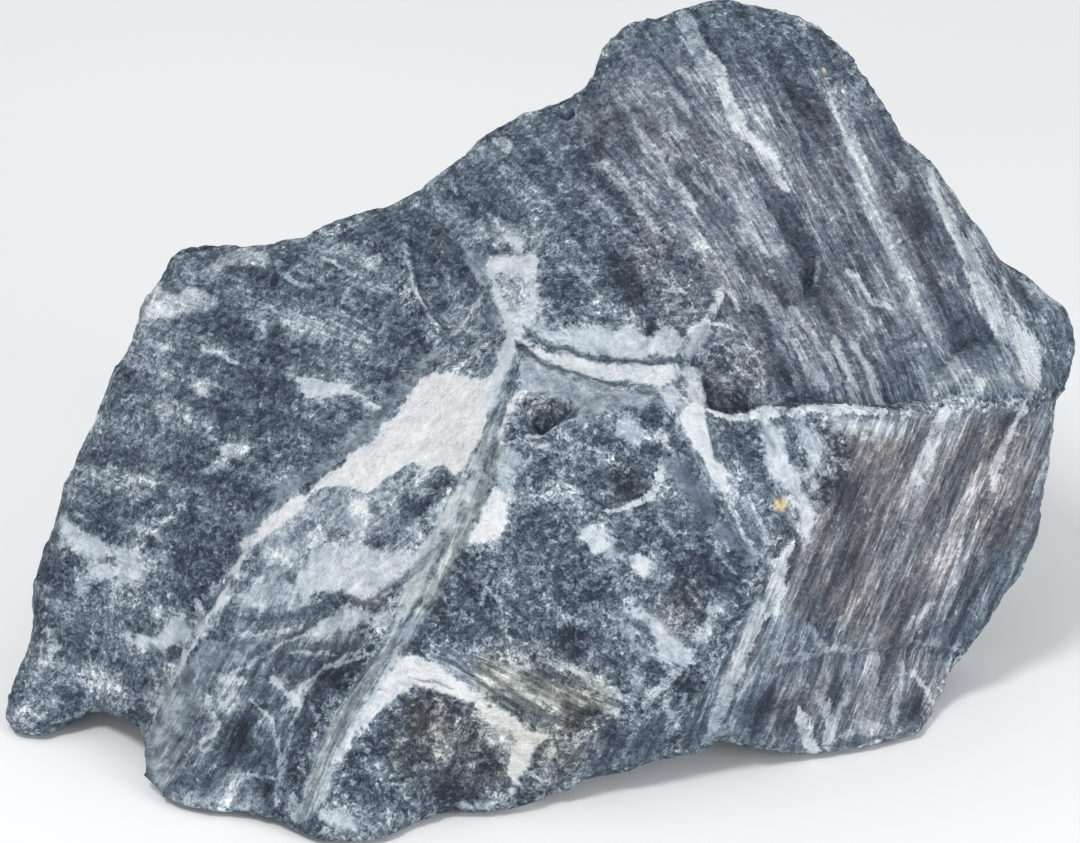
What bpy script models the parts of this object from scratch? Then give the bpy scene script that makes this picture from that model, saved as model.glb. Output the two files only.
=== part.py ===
"""A zebra stone: one broken block of banded metamorphic rock that stands on its flat underside.

The stone is described as a viewer sees it, who stands in front and looks down on it a little.
A corner is (across, up, near) in millimetres: across and up lie in the plane square to the view,
through a point inside the stone, and near is how far the corner stands out of that plane towards
the viewer. Every size follows from the stone's width.

Run with: blender --background --python part.py
"""

import math

import bmesh
import bpy
from mathutils import Matrix, Vector, noise
from mathutils.geometry import delaunay_2d_cdt

# Driving dimensions, in metres
STONE_WIDTH = 0.217
EYE_DISTANCE = 1.15
VIEW_DOWN = math.radians(25.0)

# The corners below are in millimetres of a stone this wide
CORNER_WIDTH = 217.0
UNIT = STONE_WIDTH / CORNER_WIDTH
EYE = EYE_DISTANCE / UNIT

# Where the view's centre lies: to the right of and behind the row origin, and above the ground
CENTRE_RIGHT = -0.2
CENTRE_BACK = -3.3
CENTRE_HEIGHT = 60.0

RIGHT = Vector((1.0, 0.0, 0.0))
UP = Vector((0.0, math.sin(VIEW_DOWN), math.cos(VIEW_DOWN)))
NEAR = Vector((0.0, -math.cos(VIEW_DOWN), math.sin(VIEW_DOWN)))
CENTRE = Vector((CENTRE_RIGHT, CENTRE_BACK, CENTRE_HEIGHT))

# The leaves of the rock lie square to this direction, given as (across, up, near)
LEAF_NORMAL = (0.45, -0.06, -0.89)

# Upper and side outline, clockwise from the left foot's tip: (across, up, near)
OUTLINE_UPPER = [
    (-107.6, -60.4, -8.5), (-106.6, -57, -9.5), (-104.7, -52, -11), (-102.5, -47, -13), (-100.7, -41, -13),
    (-101.8, -36, -14), (-100, -30, -15), (-96.6, -20, -17), (-93.2, -11, -17), (-90.8, -5.5, -18),
    (-87.5, 3, -20), (-85.4, 9.5, -20.5), (-82.3, 13.7, -20.5), (-80, 21, -21), (-77, 26, -22),
    (-75, 30, -23), (-73.5, 33, -24), (-70.5, 34.8, -24.5), (-64.5, 35, -23), (-60, 34.2, -20),
    (-53, 34.3, -18), (-50.5, 35.8, -16), (-47, 36.2, -14), (-40.5, 40, -14), (-35, 42, -14),
    (-26.5, 43.6, -13), (-24.3, 45.5, -13), (-20, 49.4, -14), (-15, 52.3, -14), (-12, 55.5, -14.5),
    (-7, 58.3, -15), (-4.5, 61.3, -15), (0, 62.3, -15), (2.5, 63.6, -15), (8.5, 65.4, -15), (10, 68.2, -14),
    (12, 73, -13.5), (16, 79, -13.5), (24, 80.8, -13.5), (30, 82.7, -14.5), (38, 83.9, -16),
    (44, 83.0, -17), (50, 81, -17.5), (56, 78.2, -17.5), (61, 73.7, -17), (64, 70.3, -16.5),
    (66.5, 66, -16), (71, 60, -15), (72, 57.5, -15), (77, 53, -14.5), (79, 51, -14), (80.5, 48, -14),
    (82.9, 44.6, -14), (85.3, 39.4, -14), (88.5, 37, -14.5), (91.8, 31.4, -15), (97.3, 27.6, -15),
    (104, 23.6, -15), (106.3, 21.5, -14), (107.8, 15, -12.5), (106.8, 10.5, -12), (104.3, 5.5, -10),
    (102.8, 3.5, -10), (102.7, 0, -12), (101.2, -12, -13), (100, -20, -13.5), (98, -28, -14),
    (92, -35.5, -14), (87, -43, -14), (81, -50, -13.5), (79.3, -56, -13),
]
# Lower outline, going on from there to the left foot: (across, up, height above the ground)
OUTLINE_LOWER = [
    (76.8, -62.2, 2.0), (70, -64.7, 2.0), (61, -65.8, 2.0), (55, -66.7, 2.0), (48, -66.8, 3.5),
    (40, -64.6, 6.0), (34, -63.9, 8.5), (29.5, -65.8, 8.0), (23, -68.7, 6.5), (14, -70.8, 5.0),
    (6, -73, 4.0), (0, -75.7, 2.5), (-8, -77.8, 2.0), (-18, -78.2, 2.0), (-25, -80.3, 2.0),
    (-31.5, -83.8, 2.0), (-38, -84.5, 2.0), (-44.5, -84.4, 2.0), (-48.5, -82, 2.0), (-53.5, -79.6, 2.2),
    (-60, -78.6, 2.2), (-68, -78, 2.2), (-74, -76.4, 2.2), (-78, -73.6, 2.6), (-79.8, -68.5, 4.5),
    (-79.2, -63.5, 7.5), (-80.3, -61, 8.5), (-84, -60, 7.0), (-88.5, -58.3, 6.0), (-92, -60, 4.0),
    (-96, -62, 2.6), (-100, -63.4, 2.0), (-104, -63.3, 2.0), (-106.6, -62, 2.2),
]

# Lines along which the front surface breaks: how sharp each is, and its corners (across, up, near)
BREAKS = {
    "nose": (0.9, [
        (-4, 20, 19.5), (-5, 12, 24), (-6.5, 3, 27.5), (-8.5, -5, 30.5), (-12.5, -17, 32), (-17, -28, 33),
        (-21.5, -37, 34), (-28, -47, 35.5), (-34, -57, 36), (-40, -68, 36), (-45, -78, 35)]),
    "vein_face_edge": (0.8, [
        (-9, 17, 17), (-13, 12, 16.5), (-22, 9, 14.5), (-30, 3, 14), (-38, -4, 14), (-47, -11, 13.5),
        (-55, -18, 13.5), (-60, -25, 14), (-66, -36, 14), (-70.3, -45, 13.5), (-76, -55, 12.5)]),
    "left_face_foot": (0.7, [
        (-56.5, -19, 12.2), (-61.4, -25.4, 11.5), (-67.3, -36.4, 10.5), (-71.8, -45.4, 8.5),
        (-77.5, -55.4, 6.5)]),
    "notch_scarp": (0.7, [
        (-26.4, 38, -4), (-25.5, 31, 0.5), (-22.5, 24, 5), (-19.7, 18.5, 8.5)]),
    "notch_floor": (0.5, [
        (-24.3, 38.5, -8), (-23.6, 30.5, -3.2), (-20.8, 24, 1.2), (-18.4, 19.6, 5)]),
    "notch_right": (0.3, [(-14, 33.5, 3.5), (-12.5, 28, 7), (-13.5, 22.5, 8.8), (-17.4, 17, 9.5)]),
    "left_strip": (0.5, [
        (-95, -15, -11.5), (-95.6, -22, -8), (-95.6, -30, -6), (-95, -38, -5.5), (-94, -48, -5),
        (-92.3, -54, -4.5)]),
    "top_left_cap": (0.4, [(-73.5, 29.6, -21), (-66, 30, -17), (-61, 32.2, -15.5), (-54, 32.6, -13)]),
    "upper_seam": (0.2, [(7.2, 60, -8), (5.6, 55, -3.8), (9, 50.5, -1)]),
    "right_shoulder": (0.4, [
        (77, 48, -4), (80, 43.5, -3), (84, 37.5, -2), (87, 31.5, -1), (90.5, 26, -1), (94.5, 21.5, -2),
        (100, 20.5, -6)]),
    "ledge_lip": (0.9, [
        (-4, -4.6, 31), (0, -3.7, 31.5), (3, -1.2, 32), (8, 1.6, 31), (15, 2.9, 30), (24, 3, 29),
        (32.5, 3, 28), (37, 1.4, 27.5), (44, 2.3, 27), (52, 2.7, 26), (59, 3.2, 25), (68, 2.3, 22.5),
        (77.5, 2.8, 18.5), (84, 2.2, 15), (90, 2.8, 11.5), (97, 3.8, 5.5)]),
    "ledge_foot": (0.7, [
        (34.2, 5, 22), (38, 3.6, 20.5), (44, 4.2, 21), (52, 4.6, 20.5), (59, 5.1, 19.5), (68, 4.2, 17.8),
        (76.5, 4.8, 15)]),
    "shelf_back": (0.4, [(8.8, 3.8, 27), (11.5, 6.3, 26), (16, 7.4, 25.3), (21, 7.4, 25), (23.5, 5.5, 26.3)]),
    "bowl_ridge": (0.5, [(28, 12.5, 23), (31, 16.5, 22.5), (35, 20, 20.5), (37.5, 20.3, 19)]),
    "dark_hollow": (0.4, [(31.5, 10, 24), (33, 13, 21.5), (36.5, 14.5, 17.5), (41, 12, 17.5), (45, 7, 19)]),
    "cavity_rim": (0.7, [(-4.4, 6, 28.5), (0, 5.2, 28.3), (4.6, 4.8, 28), (7.3, 2.6, 28.6)]),
    "cavity_floor": (0.5, [(-3.2, 2, 25), (-0.8, -0.6, 23.5), (1.2, -1.9, 23), (4.2, 1.4, 24)]),
    "roof_vein": (0.6, [
        (-28, -47, 35.5), (-20, -49, 35.5), (-15, -52, 35), (-8, -56.5, 33.5), (0, -60.5, 31.5),
        (4.5, -63, 30)]),
    "lower_front_right": (0.6, [(4.5, -63, 30), (2, -67, 28.5), (-2.5, -72, 26.5)]),
    "front_face_right": (0.4, [(24, 3, 29), (29, -5, 30.5), (33, -13, 31), (38, -20, 31.5), (45, -28, 31.5)]),
    "front_face_lower": (0.6, [
        (45, -28, 31.5), (40, -35, 31), (36, -41, 30.3), (28, -49.5, 29.5), (22, -57, 28), (12, -60.5, 29),
        (4.5, -63, 30)]),
    "right_ridge": (0.7, [
        (45, -28, 31.5), (54, -22, 28.5), (60, -14.5, 26.5), (66, -6, 24.5), (71, -1, 22.3),
        (77.5, 2.8, 18.5)]),
    "fracture_upper": (0.6, [
        (1, -8.5, 32), (7, -12.8, 32.3), (13.3, -17.4, 31.6), (19.2, -15.4, 31), (23, -9.5, 30.6),
        (25.3, -5.5, 30.4)]),
    "fracture_lower": (0.6, [
        (12.9, -18.9, 33), (20, -16.9, 32.6), (24.6, -10.6, 31.6)]),
    "crack_upper": (0.6, [
        (48, -45.3, 20.5), (56, -46, 13.5), (64, -44.8, 6.9), (75, -44.2, -2.2), (84, -45, -10.6)]),
    "crack_lower": (0.6, [
        (48, -46.8, 19), (56, -47.4, 12), (64, -46.2, 5.4), (75, -45.6, -3.8), (82.5, -46.6, -11)]),
    "knob_top": (0.6, [(82, 11.8, 10), (86.5, 14.6, 6.5), (91.5, 13, 3.5), (95.5, 9.2, 2.5)]),
    "knob_brow": (0.6, [(82, 11.8, 10), (88, 9.6, 12.3), (95.5, 9.2, 2.5)]),
    "knob_foot": (0.4, [(79.8, 10.5, 9), (83.6, 15.6, 4), (92, 15.6, 0.5), (97.5, 10.5, 0.5)]),
}

# Single corners of the front surface, between the breaks, by face
FACE_CORNERS = {
    "left_face": [
        (-60, 28, -12), (-45, 32, -9), (-34, 37, -8), (-78, 17, -16), (-64, 12, -6.5), (-50, 12, -1),
        (-36, 12, 4.5), (-28, 20, 2.5), (-25, 12.5, 8.5), (-85, 0, -12.5), (-72, -4, -2), (-58, -6, 5),
        (-44, -1, 10), (-92, -11, -12.5), (-81, -14, -4), (-66, -20, 6.5), (-82, -30, 1), (-74, -32, 6.5),
        (-81, -45, 3), (-85, -55, 1)],
    "left_foot": [(-100, -46, -8.5), (-102, -56, -6.5), (-103.5, -60, -5.5), (-96, -57.5, -5.5)],
    "upper_middle": [
        (-17, 44, -7), (-8, 52, -7), (1, 57, -8), (-8, 40, 0), (0, 46, 0.5), (2, 36, 8), (-3.5, 30, 12),
        (8, 40, 7), (6, 28, 15)],
    "upper_right": [
        (18, 72, -8), (28, 74, -8), (40, 74, -8.6), (52, 72, -10.5), (15, 58, -1), (26, 62, -3),
        (38, 62, -3), (50, 60, -4.2), (61, 60, -6.5), (20, 46, 4.5), (32, 48, 4.5), (45, 46, 2.8),
        (58, 46, 0.5), (68, 46, -1.5), (25, 35, 10), (37, 34, 10), (50, 32, 8), (63, 32, 5.5),
        (75, 30, 2.5), (27, 26, 14), (44, 21, 13.5), (57, 18, 12.8), (70, 16, 10.5), (80, 20, 5),
        (87, 20, 1)],
    "bowl": [
        (1, 17, 20.5), (8, 17.5, 20.3), (16, 15, 20.5), (24, 15.5, 20.6), (12, 22, 18), (22, 22.5, 16.5)],
    "shelf_front": [(-2, 13, 23), (5, 11, 23.6), (12, 8.8, 24), (-2, 9, 26), (4, 7.6, 26.4)],
    "right_end": [(101, 16, -6.5), (99, 9, -1), (103, 12, -8)],
    "vein_face": [
        (-12, 4, 22.5), (-20, -2, 20.5), (-24, -16, 25), (-32, -10, 20), (-36, -24, 23), (-30, -34, 27.5),
        (-46, -24, 18.5), (-44, -40, 24.5), (-56, -38, 19), (-62, -52, 19), (-48, -56, 28), (-58, -66, 24),
        (-70, -66, 17.5), (-40, -50, 30)],
    "front_face": [
        (-4, -20, 33), (8, -28, 33), (20, -26, 32.5), (32, -26, 32), (-12, -34, 33.5), (2, -38, 34),
        (18, -42, 32.5), (30, -38, 31.5), (-12, -48, 35), (6, -52, 33.5), (18, -52, 31), (14, -6, 32),
        (20, -3, 30.5)],
    "ledge_front": [(35, -6, 29.8), (42, -15, 30.2), (50, -8, 28), (60, -3, 25.3), (46, -3, 28.3)],
    "lower_front": [(-28, -60, 35.8), (-16, -64, 33), (-25, -74, 32.5), (-12, -72, 29), (-38, -79, 34)],
    "lower_strip": [(12, -66, 25), (22, -63, 23), (31, -57, 24.5), (35, -50, 26.5)],
    "striated_face": [
        (74, -14, 13.5), (88, -10, 4), (96, -16, -5), (70, -30, 9), (84, -28, -1), (58, -34, 17),
        (46, -40, 25), (40, -52, 24), (88, -37, -10), (66, -10, 22)],
    "foot_strip": [(54, -57, 9), (66, -56, -0.5), (44, -60, 16), (75, -55, -7.5)],
}

# Planes that bound the hidden back and the underside: the way each faces (right, back, height) and
# how far it lies from the row origin, in millimetres. The underside is cut flat at the ground later.
BACK_PLANES = {
    "back_face": ((0.10, 0.985, 0.12), 70.0),
    "leaf_face": ((0.45, 0.78, -0.43), 46.0),
    "left_back_face": ((-0.55, 0.83, 0.05), 74.5),
    "upper_left_slope": ((-0.40, 0.60, 0.69), 106.0),
    "upper_right_slope": ((0.62, 0.75, 0.22), 99.0),
    "right_end_face": ((0.93, 0.25, -0.27), 86.0),
    "back_foot": ((-0.10, 0.60, -0.79), 30.0),
    "left_back_foot": ((-0.60, 0.50, -0.62), 59.0),
    "underside": ((0.0, 0.0, -1.0), 2.5),
}
# Just inside the outline the back falls away from it, in depth per distance, between these
LEAST_FALL = 0.6
SIDE_FALL = 1.9
FOOT_FALL = 5.0
FOOT_HEIGHT = 10.0
SIDE_HEIGHT = 25.0
BACK_GRID = 5.5

TOLERANCE = 1e-4
WORKING_VOXEL = 0.0016
TRIANGLES = 9700
RIM_SHARPNESS = 0.8
RIM_ALLOWANCE = 0.8

# The relief of the broken surface: how high its parts stand out and how wide they are, in millimetres.
# It runs out below this height, so that the stone's edge on the ground stays clean
STEADY_HEIGHT = 4.0
SWELL_HEIGHTS = (0.6, 0.3)
SWELL_WIDTHS = (22.0, 11.0)
LEAF_HEIGHT_ALONG = 0.35
LEAF_HEIGHT_ACROSS = 1.1
LEAF_LENGTH = 30.0
LEAF_THICKNESS = 3.2
CHIP_HEIGHT = 0.45
CHIP_WIDTH = 9.0
CHIP_MIDDLE = 0.25
GRAIN_HEIGHT = 0.25
GRAIN_WIDTH = 4.0
# Places in the noise, so that the parts of the relief don't follow one another
SWELL_SEED = Vector((7, 3, 1))
LEAF_SEED = Vector((3, 9, 4))
CHIP_SEED = Vector((2, 5, 8))


def at(across, up, near):
    """The place in metres of a corner given as the viewer sees it."""
    shrink = 1.0 - near / EYE
    return (CENTRE + RIGHT * across * shrink + UP * up * shrink + NEAR * near) * UNIT


def near_at_height(up, height):
    """How near a lower outline corner stands, from its height above the ground."""
    steepness = NEAR.z - up * UP.z / EYE
    return (height - CENTRE.z - up * UP.z) / steepness


def outline():
    """The outline's corners, moved out by what the rounding takes off again."""
    lower = [(across, up, near_at_height(up, height)) for across, up, height in OUTLINE_LOWER]
    corners = OUTLINE_UPPER + lower
    moved = []
    for before, corner, after in zip(corners[-1:] + corners[:-1], corners, corners[1:] + corners[:1]):
        along = Vector((after[0] - before[0], after[1] - before[1])).normalized()
        moved.append((corner[0] - along.y * RIM_ALLOWANCE, corner[1] + along.x * RIM_ALLOWANCE, corner[2]))
    return moved


def nearest_on_rim(across, up, rim):
    """How far the outline is from a place in the view, and how near the viewer it lies there."""
    best = (math.inf, 0.0, 0.0)
    for start, end in zip(rim, rim[1:] + rim[:1]):
        along = (end[0] - start[0], end[1] - start[1])
        length_squared = along[0] ** 2 + along[1] ** 2
        share = ((across - start[0]) * along[0] + (up - start[1]) * along[1]) / length_squared
        share = min(1.0, max(0.0, share))
        foot = tuple(a + share * (b - a) for a, b in zip(start, end))
        best = min(best, (math.dist((across, up), foot[:2]), foot[2], foot[1]))
    return best


def back_depth(across, up, rim):
    """How near the viewer the back of the stone lies, seen through the stone."""
    distance, rim_near, rim_up = nearest_on_rim(across, up, rim)
    rim_height = at(0.0, rim_up, rim_near).z / UNIT
    sideways = min(1.0, max(0.0, (rim_height - FOOT_HEIGHT) / (SIDE_HEIGHT - FOOT_HEIGHT)))
    fall = FOOT_FALL + (SIDE_FALL - FOOT_FALL) * sideways
    limit = -math.inf
    for facing, reach in BACK_PLANES.values():
        facing = Vector(facing).normalized()
        along_view = (RIGHT * across + UP * up).dot(facing)
        steepness = NEAR.dot(facing) - along_view / EYE
        limit = max(limit, (reach - CENTRE.dot(facing) - along_view) / steepness)
    return min(rim_near - LEAST_FALL * distance, max(limit, rim_near - fall * distance))


def inside(across, up, rim):
    crossings = 0
    for start, end in zip(rim, rim[1:] + rim[:1]):
        if (start[1] > up) != (end[1] > up):
            crossings += across < start[0] + (up - start[1]) / (end[1] - start[1]) * (end[0] - start[0])
    return crossings % 2 == 1


def back_corners(rim):
    """Corners of the back on an even grid in the view."""
    left, right = min(c[0] for c in rim), max(c[0] for c in rim)
    bottom, top = min(c[1] for c in rim), max(c[1] for c in rim)
    corners = []
    for row in range(int((top - bottom) / BACK_GRID) + 1):
        for column in range(int((right - left) / BACK_GRID) + 1):
            across = left + (column + 0.5 * (row % 2)) * BACK_GRID
            up = bottom + row * BACK_GRID
            if inside(across, up, rim) and nearest_on_rim(across, up, rim)[0] > 0.5 * BACK_GRID:
                corners.append((across, up, back_depth(across, up, rim)))
    return corners


class Sheet:
    """Corners seen from the front, triangulated inside the outline with every break as an edge."""

    def __init__(self, rim):
        self.corners = list(rim)
        self.rim = list(range(len(rim)))
        self.edges = {}

    def corner(self, point):
        for index, known in enumerate(self.corners):
            if math.dist(point[:2], known[:2]) < 0.05:
                return index
        self.corners.append(point)
        return len(self.corners) - 1

    def add_break(self, points, sharpness):
        indices = [self.corner(point) for point in points]
        for pair in zip(indices, indices[1:]):
            self.edges[tuple(sorted(pair))] = sharpness

    def triangles(self):
        flat = [Vector(corner[:2]) for corner in self.corners]
        inside_only = 1
        points, _, faces, origins, _, _ = delaunay_2d_cdt(
            flat, list(self.edges), [self.rim], inside_only, TOLERANCE)
        if len(points) != len(flat):
            crossing = [tuple(round(x, 1) for x in p) for p, o in zip(points, origins) if not o]
            raise ValueError(f"two breaks cross at {crossing}")
        back = {new: old[0] for new, old in enumerate(origins)}
        return [tuple(back[i] for i in face) for face in faces]


def cage():
    """The coarse closed surface: a front and a back sheet that share the outline."""
    rim = outline()
    front, rear = Sheet(rim), Sheet(rim)
    for sharpness, points in BREAKS.values():
        front.add_break(points, sharpness)
    for corners in FACE_CORNERS.values():
        for point in corners:
            front.corner(point)
    for point in back_corners(rim):
        rear.corner(point)

    mesh = bmesh.new()
    crease = mesh.edges.layers.float.new("crease_edge")
    shared = [mesh.verts.new(at(*corner)) for corner in rim]
    for sheet, outward in ((front, 1), (rear, -1)):
        verts = shared + [mesh.verts.new(at(*corner)) for corner in sheet.corners[len(rim):]]
        for face in sheet.triangles():
            corners = [verts[i] for i in face[::outward]]
            if sheet is rear and max(face) < len(rim):
                middle = [sum(axis) / 3 for axis in zip(*(rim[i] for i in face))]
                tip = mesh.verts.new(at(*middle[:2], back_depth(*middle[:2], rim)))
                for a, b in zip(corners, corners[1:] + corners[:1]):
                    mesh.faces.new((a, b, tip))
            else:
                mesh.faces.new(corners)
        for (a, b), sharpness in sheet.edges.items():
            mesh.edges.get((verts[a], verts[b]))[crease] = sharpness
    for a, b in zip(shared, shared[1:] + shared[:1]):
        mesh.edges.get((a, b))[crease] = RIM_SHARPNESS
    return mesh


def new_object(name, mesh, collection):
    data = bpy.data.meshes.new(name)
    mesh.to_mesh(data)
    mesh.free()
    made = bpy.data.objects.new(name, data)
    collection.objects.link(made)
    return made


def bake_modifiers(obj):
    """The object's mesh becomes the one its modifiers make."""
    graph = bpy.context.evaluated_depsgraph_get()
    made = bpy.data.meshes.new_from_object(obj.evaluated_get(graph))
    obj.modifiers.clear()
    old = obj.data
    obj.data = made
    bpy.data.meshes.remove(old)


def soften(obj):
    """Rounds the cage a little between its breaks, then evens out the mesh."""
    for kind in ("SIMPLE", "CATMULL_CLARK"):
        rounding = obj.modifiers.new("rounding", "SUBSURF")
        rounding.subdivision_type = kind
        rounding.levels = rounding.render_levels = 1
    voxels = obj.modifiers.new("voxels", "REMESH")
    voxels.mode = "VOXEL"
    voxels.voxel_size = WORKING_VOXEL
    bake_modifiers(obj)


def leaf_direction():
    across, up, near = LEAF_NORMAL
    return (RIGHT * across + UP * up + NEAR * near).normalized()


def relief(place, normal, leaf):
    """How far the broken surface stands out at a place, in millimetres."""
    through = place.dot(leaf)
    swell = (SWELL_HEIGHTS[0] * noise.noise(place / SWELL_WIDTHS[0])
             + SWELL_HEIGHTS[1] * noise.noise(place / SWELL_WIDTHS[1] + SWELL_SEED))
    # Leaf edges stand out most where the surface cuts across the leaves
    stretched = (place - leaf * through) / LEAF_LENGTH + leaf * (through / LEAF_THICKNESS)
    cut_across = 1.0 - abs(normal.dot(leaf))
    leaves = (LEAF_HEIGHT_ALONG + LEAF_HEIGHT_ACROSS * cut_across) * noise.noise(stretched + LEAF_SEED)
    # Flat chips with steps between them
    distances, _ = noise.voronoi(place / CHIP_WIDTH + CHIP_SEED)
    chips = CHIP_HEIGHT * (distances[1] - distances[0] - CHIP_MIDDLE)
    grain = GRAIN_HEIGHT * noise.noise(place / GRAIN_WIDTH)
    return swell + leaves + chips + grain


def roughen(obj):
    """Moves every point of the mesh along its normal by the relief there, less so near the ground."""
    leaf = leaf_direction()
    mesh = obj.data
    normals = [vertex.normal.copy() for vertex in mesh.vertices]
    for vertex, normal in zip(mesh.vertices, normals):
        place = vertex.co / UNIT
        strength = min(1.0, max(0.0, place.z / STEADY_HEIGHT))
        vertex.co += normal * strength * relief(place, normal, leaf) * UNIT


def thin_out(obj):
    """Fewer, larger triangles where the surface is flat."""
    have = sum(len(face.vertices) - 2 for face in obj.data.polygons)
    fewer = obj.modifiers.new("fewer", "DECIMATE")
    fewer.ratio = TRIANGLES / have
    fewer.use_collapse_triangulate = True
    bake_modifiers(obj)


def cut_flat_underside(obj):
    """Cuts off what lies below the ground plane and closes the cut with one flat face."""
    mesh = bmesh.new()
    mesh.from_mesh(obj.data)
    everything = mesh.verts[:] + mesh.edges[:] + mesh.faces[:]
    ground, upward = Vector((0, 0, 0)), Vector((0, 0, 1))
    bmesh.ops.bisect_plane(
        mesh, geom=everything, dist=1e-7, plane_co=ground, plane_no=upward, clear_inner=True)
    open_edges = [edge for edge in mesh.edges if edge.is_boundary]
    bmesh.ops.contextual_create(mesh, geom=open_edges)
    bmesh.ops.triangulate(mesh, faces=mesh.faces[:])
    bmesh.ops.recalc_face_normals(mesh, faces=mesh.faces[:])
    mesh.to_mesh(obj.data)
    mesh.free()


def drop_crumbs(obj):
    """Removes the small loose pieces that the cut can leave along the lower edge."""
    mesh = bmesh.new()
    mesh.from_mesh(obj.data)
    left, bodies = set(mesh.verts), []
    while left:
        body, front = set(), [left.pop()]
        while front:
            vertex = front.pop()
            body.add(vertex)
            for edge in vertex.link_edges:
                other = edge.other_vert(vertex)
                if other in left:
                    left.remove(other)
                    front.append(other)
        bodies.append(body)
    stone = max(bodies, key=len)
    crumbs = [vertex for vertex in mesh.verts if vertex not in stone]
    bmesh.ops.delete(mesh, geom=crumbs, context="VERTS")
    mesh.to_mesh(obj.data)
    mesh.free()


def centre_over_origin(obj):
    """Puts the row origin under the middle of the stone."""
    corners = [Vector(corner) for corner in obj.bound_box]
    middle = (corners[0] + corners[6]) / 2
    obj.data.transform(Matrix.Translation((-middle.x, -middle.y, 0.0)))
    return middle


def stone_material():
    material = bpy.data.materials.new("banded_stone")
    material.use_nodes = True
    shader = material.node_tree.nodes["Principled BSDF"]
    shader.inputs["Base Color"].default_value = (0.16, 0.18, 0.205, 1.0)
    shader.inputs["Roughness"].default_value = 0.62
    shader.inputs["Metallic"].default_value = 0.0
    return material


def clear_scene():
    for obj in list(bpy.data.objects):
        bpy.data.objects.remove(obj)


def main():
    clear_scene()
    collection = bpy.data.collections.new("zebra_stone")
    bpy.context.scene.collection.children.link(collection)
    stone = new_object("stone", cage(), collection)
    stone.data.materials.append(stone_material())
    soften(stone)
    roughen(stone)
    thin_out(stone)
    cut_flat_underside(stone)
    drop_crumbs(stone)
    centre_over_origin(stone)
    stone.data.shade_flat()


if __name__ == "__main__":
    main()
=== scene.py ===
"""Looks of the zebra stone: a fine broken surface, and the bands, veins and stains of the rock.

Markings on the side that the photograph shows are drawn as strokes. A stroke is a line of corners
(across, up), in millimetres, as seen by a viewer who looks down on the stone a little; it is laid
on the surface once, and stays with the surface from every side. All other markings are noise, much
of it stretched along the leaves of the rock.
"""

import math
from types import SimpleNamespace

import bpy
import numpy as np
from mathutils import Matrix, Vector, noise

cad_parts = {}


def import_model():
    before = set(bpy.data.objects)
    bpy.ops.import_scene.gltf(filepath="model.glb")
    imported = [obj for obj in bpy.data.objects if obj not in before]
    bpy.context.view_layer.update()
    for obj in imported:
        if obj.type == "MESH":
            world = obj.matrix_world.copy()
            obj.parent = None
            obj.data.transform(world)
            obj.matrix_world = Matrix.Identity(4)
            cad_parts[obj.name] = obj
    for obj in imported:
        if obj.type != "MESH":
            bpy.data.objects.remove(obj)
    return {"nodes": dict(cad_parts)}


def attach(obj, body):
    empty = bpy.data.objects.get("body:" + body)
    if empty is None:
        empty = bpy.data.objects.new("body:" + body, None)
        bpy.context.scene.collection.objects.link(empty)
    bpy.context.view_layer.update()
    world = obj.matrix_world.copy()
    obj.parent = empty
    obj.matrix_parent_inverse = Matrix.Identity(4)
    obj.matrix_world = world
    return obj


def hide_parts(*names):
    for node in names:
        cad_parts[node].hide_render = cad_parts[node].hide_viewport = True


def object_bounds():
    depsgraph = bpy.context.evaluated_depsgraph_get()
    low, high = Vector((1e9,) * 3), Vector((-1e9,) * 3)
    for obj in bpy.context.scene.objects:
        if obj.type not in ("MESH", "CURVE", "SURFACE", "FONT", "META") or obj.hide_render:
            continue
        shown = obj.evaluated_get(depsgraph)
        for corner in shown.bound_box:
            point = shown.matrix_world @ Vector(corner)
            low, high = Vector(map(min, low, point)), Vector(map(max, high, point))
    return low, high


MM = 0.001

# The viewer: looks down by this angle, from this far, at the point that the strokes are measured from
VIEW_DOWN = math.radians(25.0)
EYE = 1150.0
CENTRE = np.array((0.13, -2.95, 60.0))
RIGHT = np.array((1.0, 0.0, 0.0))
UP = np.array((0.0, math.sin(VIEW_DOWN), math.cos(VIEW_DOWN)))
NEAR = np.array((0.0, -math.cos(VIEW_DOWN), math.sin(VIEW_DOWN)))
PICTURE_WIDTH = 216.0
PICTURE_MIDDLE_UP = -0.3
SENSOR_WIDTH = 36.0

# The leaves of the rock lie square to this direction; their lean changes along the stone's length
LEAF_NORMAL = np.array((0.45, 0.78, -0.43)) / math.hypot(0.45, 0.78, 0.43)
LEAN_PLACES = (-110.0, -30.0, 5.0, 40.0, 75.0, 110.0)
LEAN_SLOPES = (0.13, 0.13, -0.33, 0.0, 0.34, 0.60)

# The fine surface: the weld before it, its face size, how often and how far it is eased, and between which
# heights above the ground its breaking sets in, so that the underside stays flat
WELD = 0.002
FINE_VOXEL = 1.04
SMOOTHINGS = 2
EASE = 0.5
BASE_RISE = (0.3, 2.5)

# Broken ground: flat chips (size, slope), how wide the noise is that bends their borders, splinters
# (length and fineness along the leaves, then size, slope), grain, and how wide rougher patches are
CHIPS = ((6.5, 0.084), (2.7, 0.14))
CHIPS_STIRRED = 3.0
SPLINTER_LENGTH = 4.5
SPLINTER_FINENESS = 1.1
SPLINTER = (3.0, 0.13)
GRAIN_SIZE = 1.6
GRAIN_HEIGHT = 0.2
PATCH_WIDTH = 13.0

# How rough quartz is beside rock, how far the broken ground is sunk into the solid, and how much lower its
# chips are where the stone turns away from the viewer, as the outline is smooth there
QUARTZ_ROUGHNESS = 0.6
SINK = 0.1
RIM_CALM = 0.45

# How far, and over what distance, noise pushes the borders between the grain's regions about
STIR = 1.3
STIR_SIZE = 5.0

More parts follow.
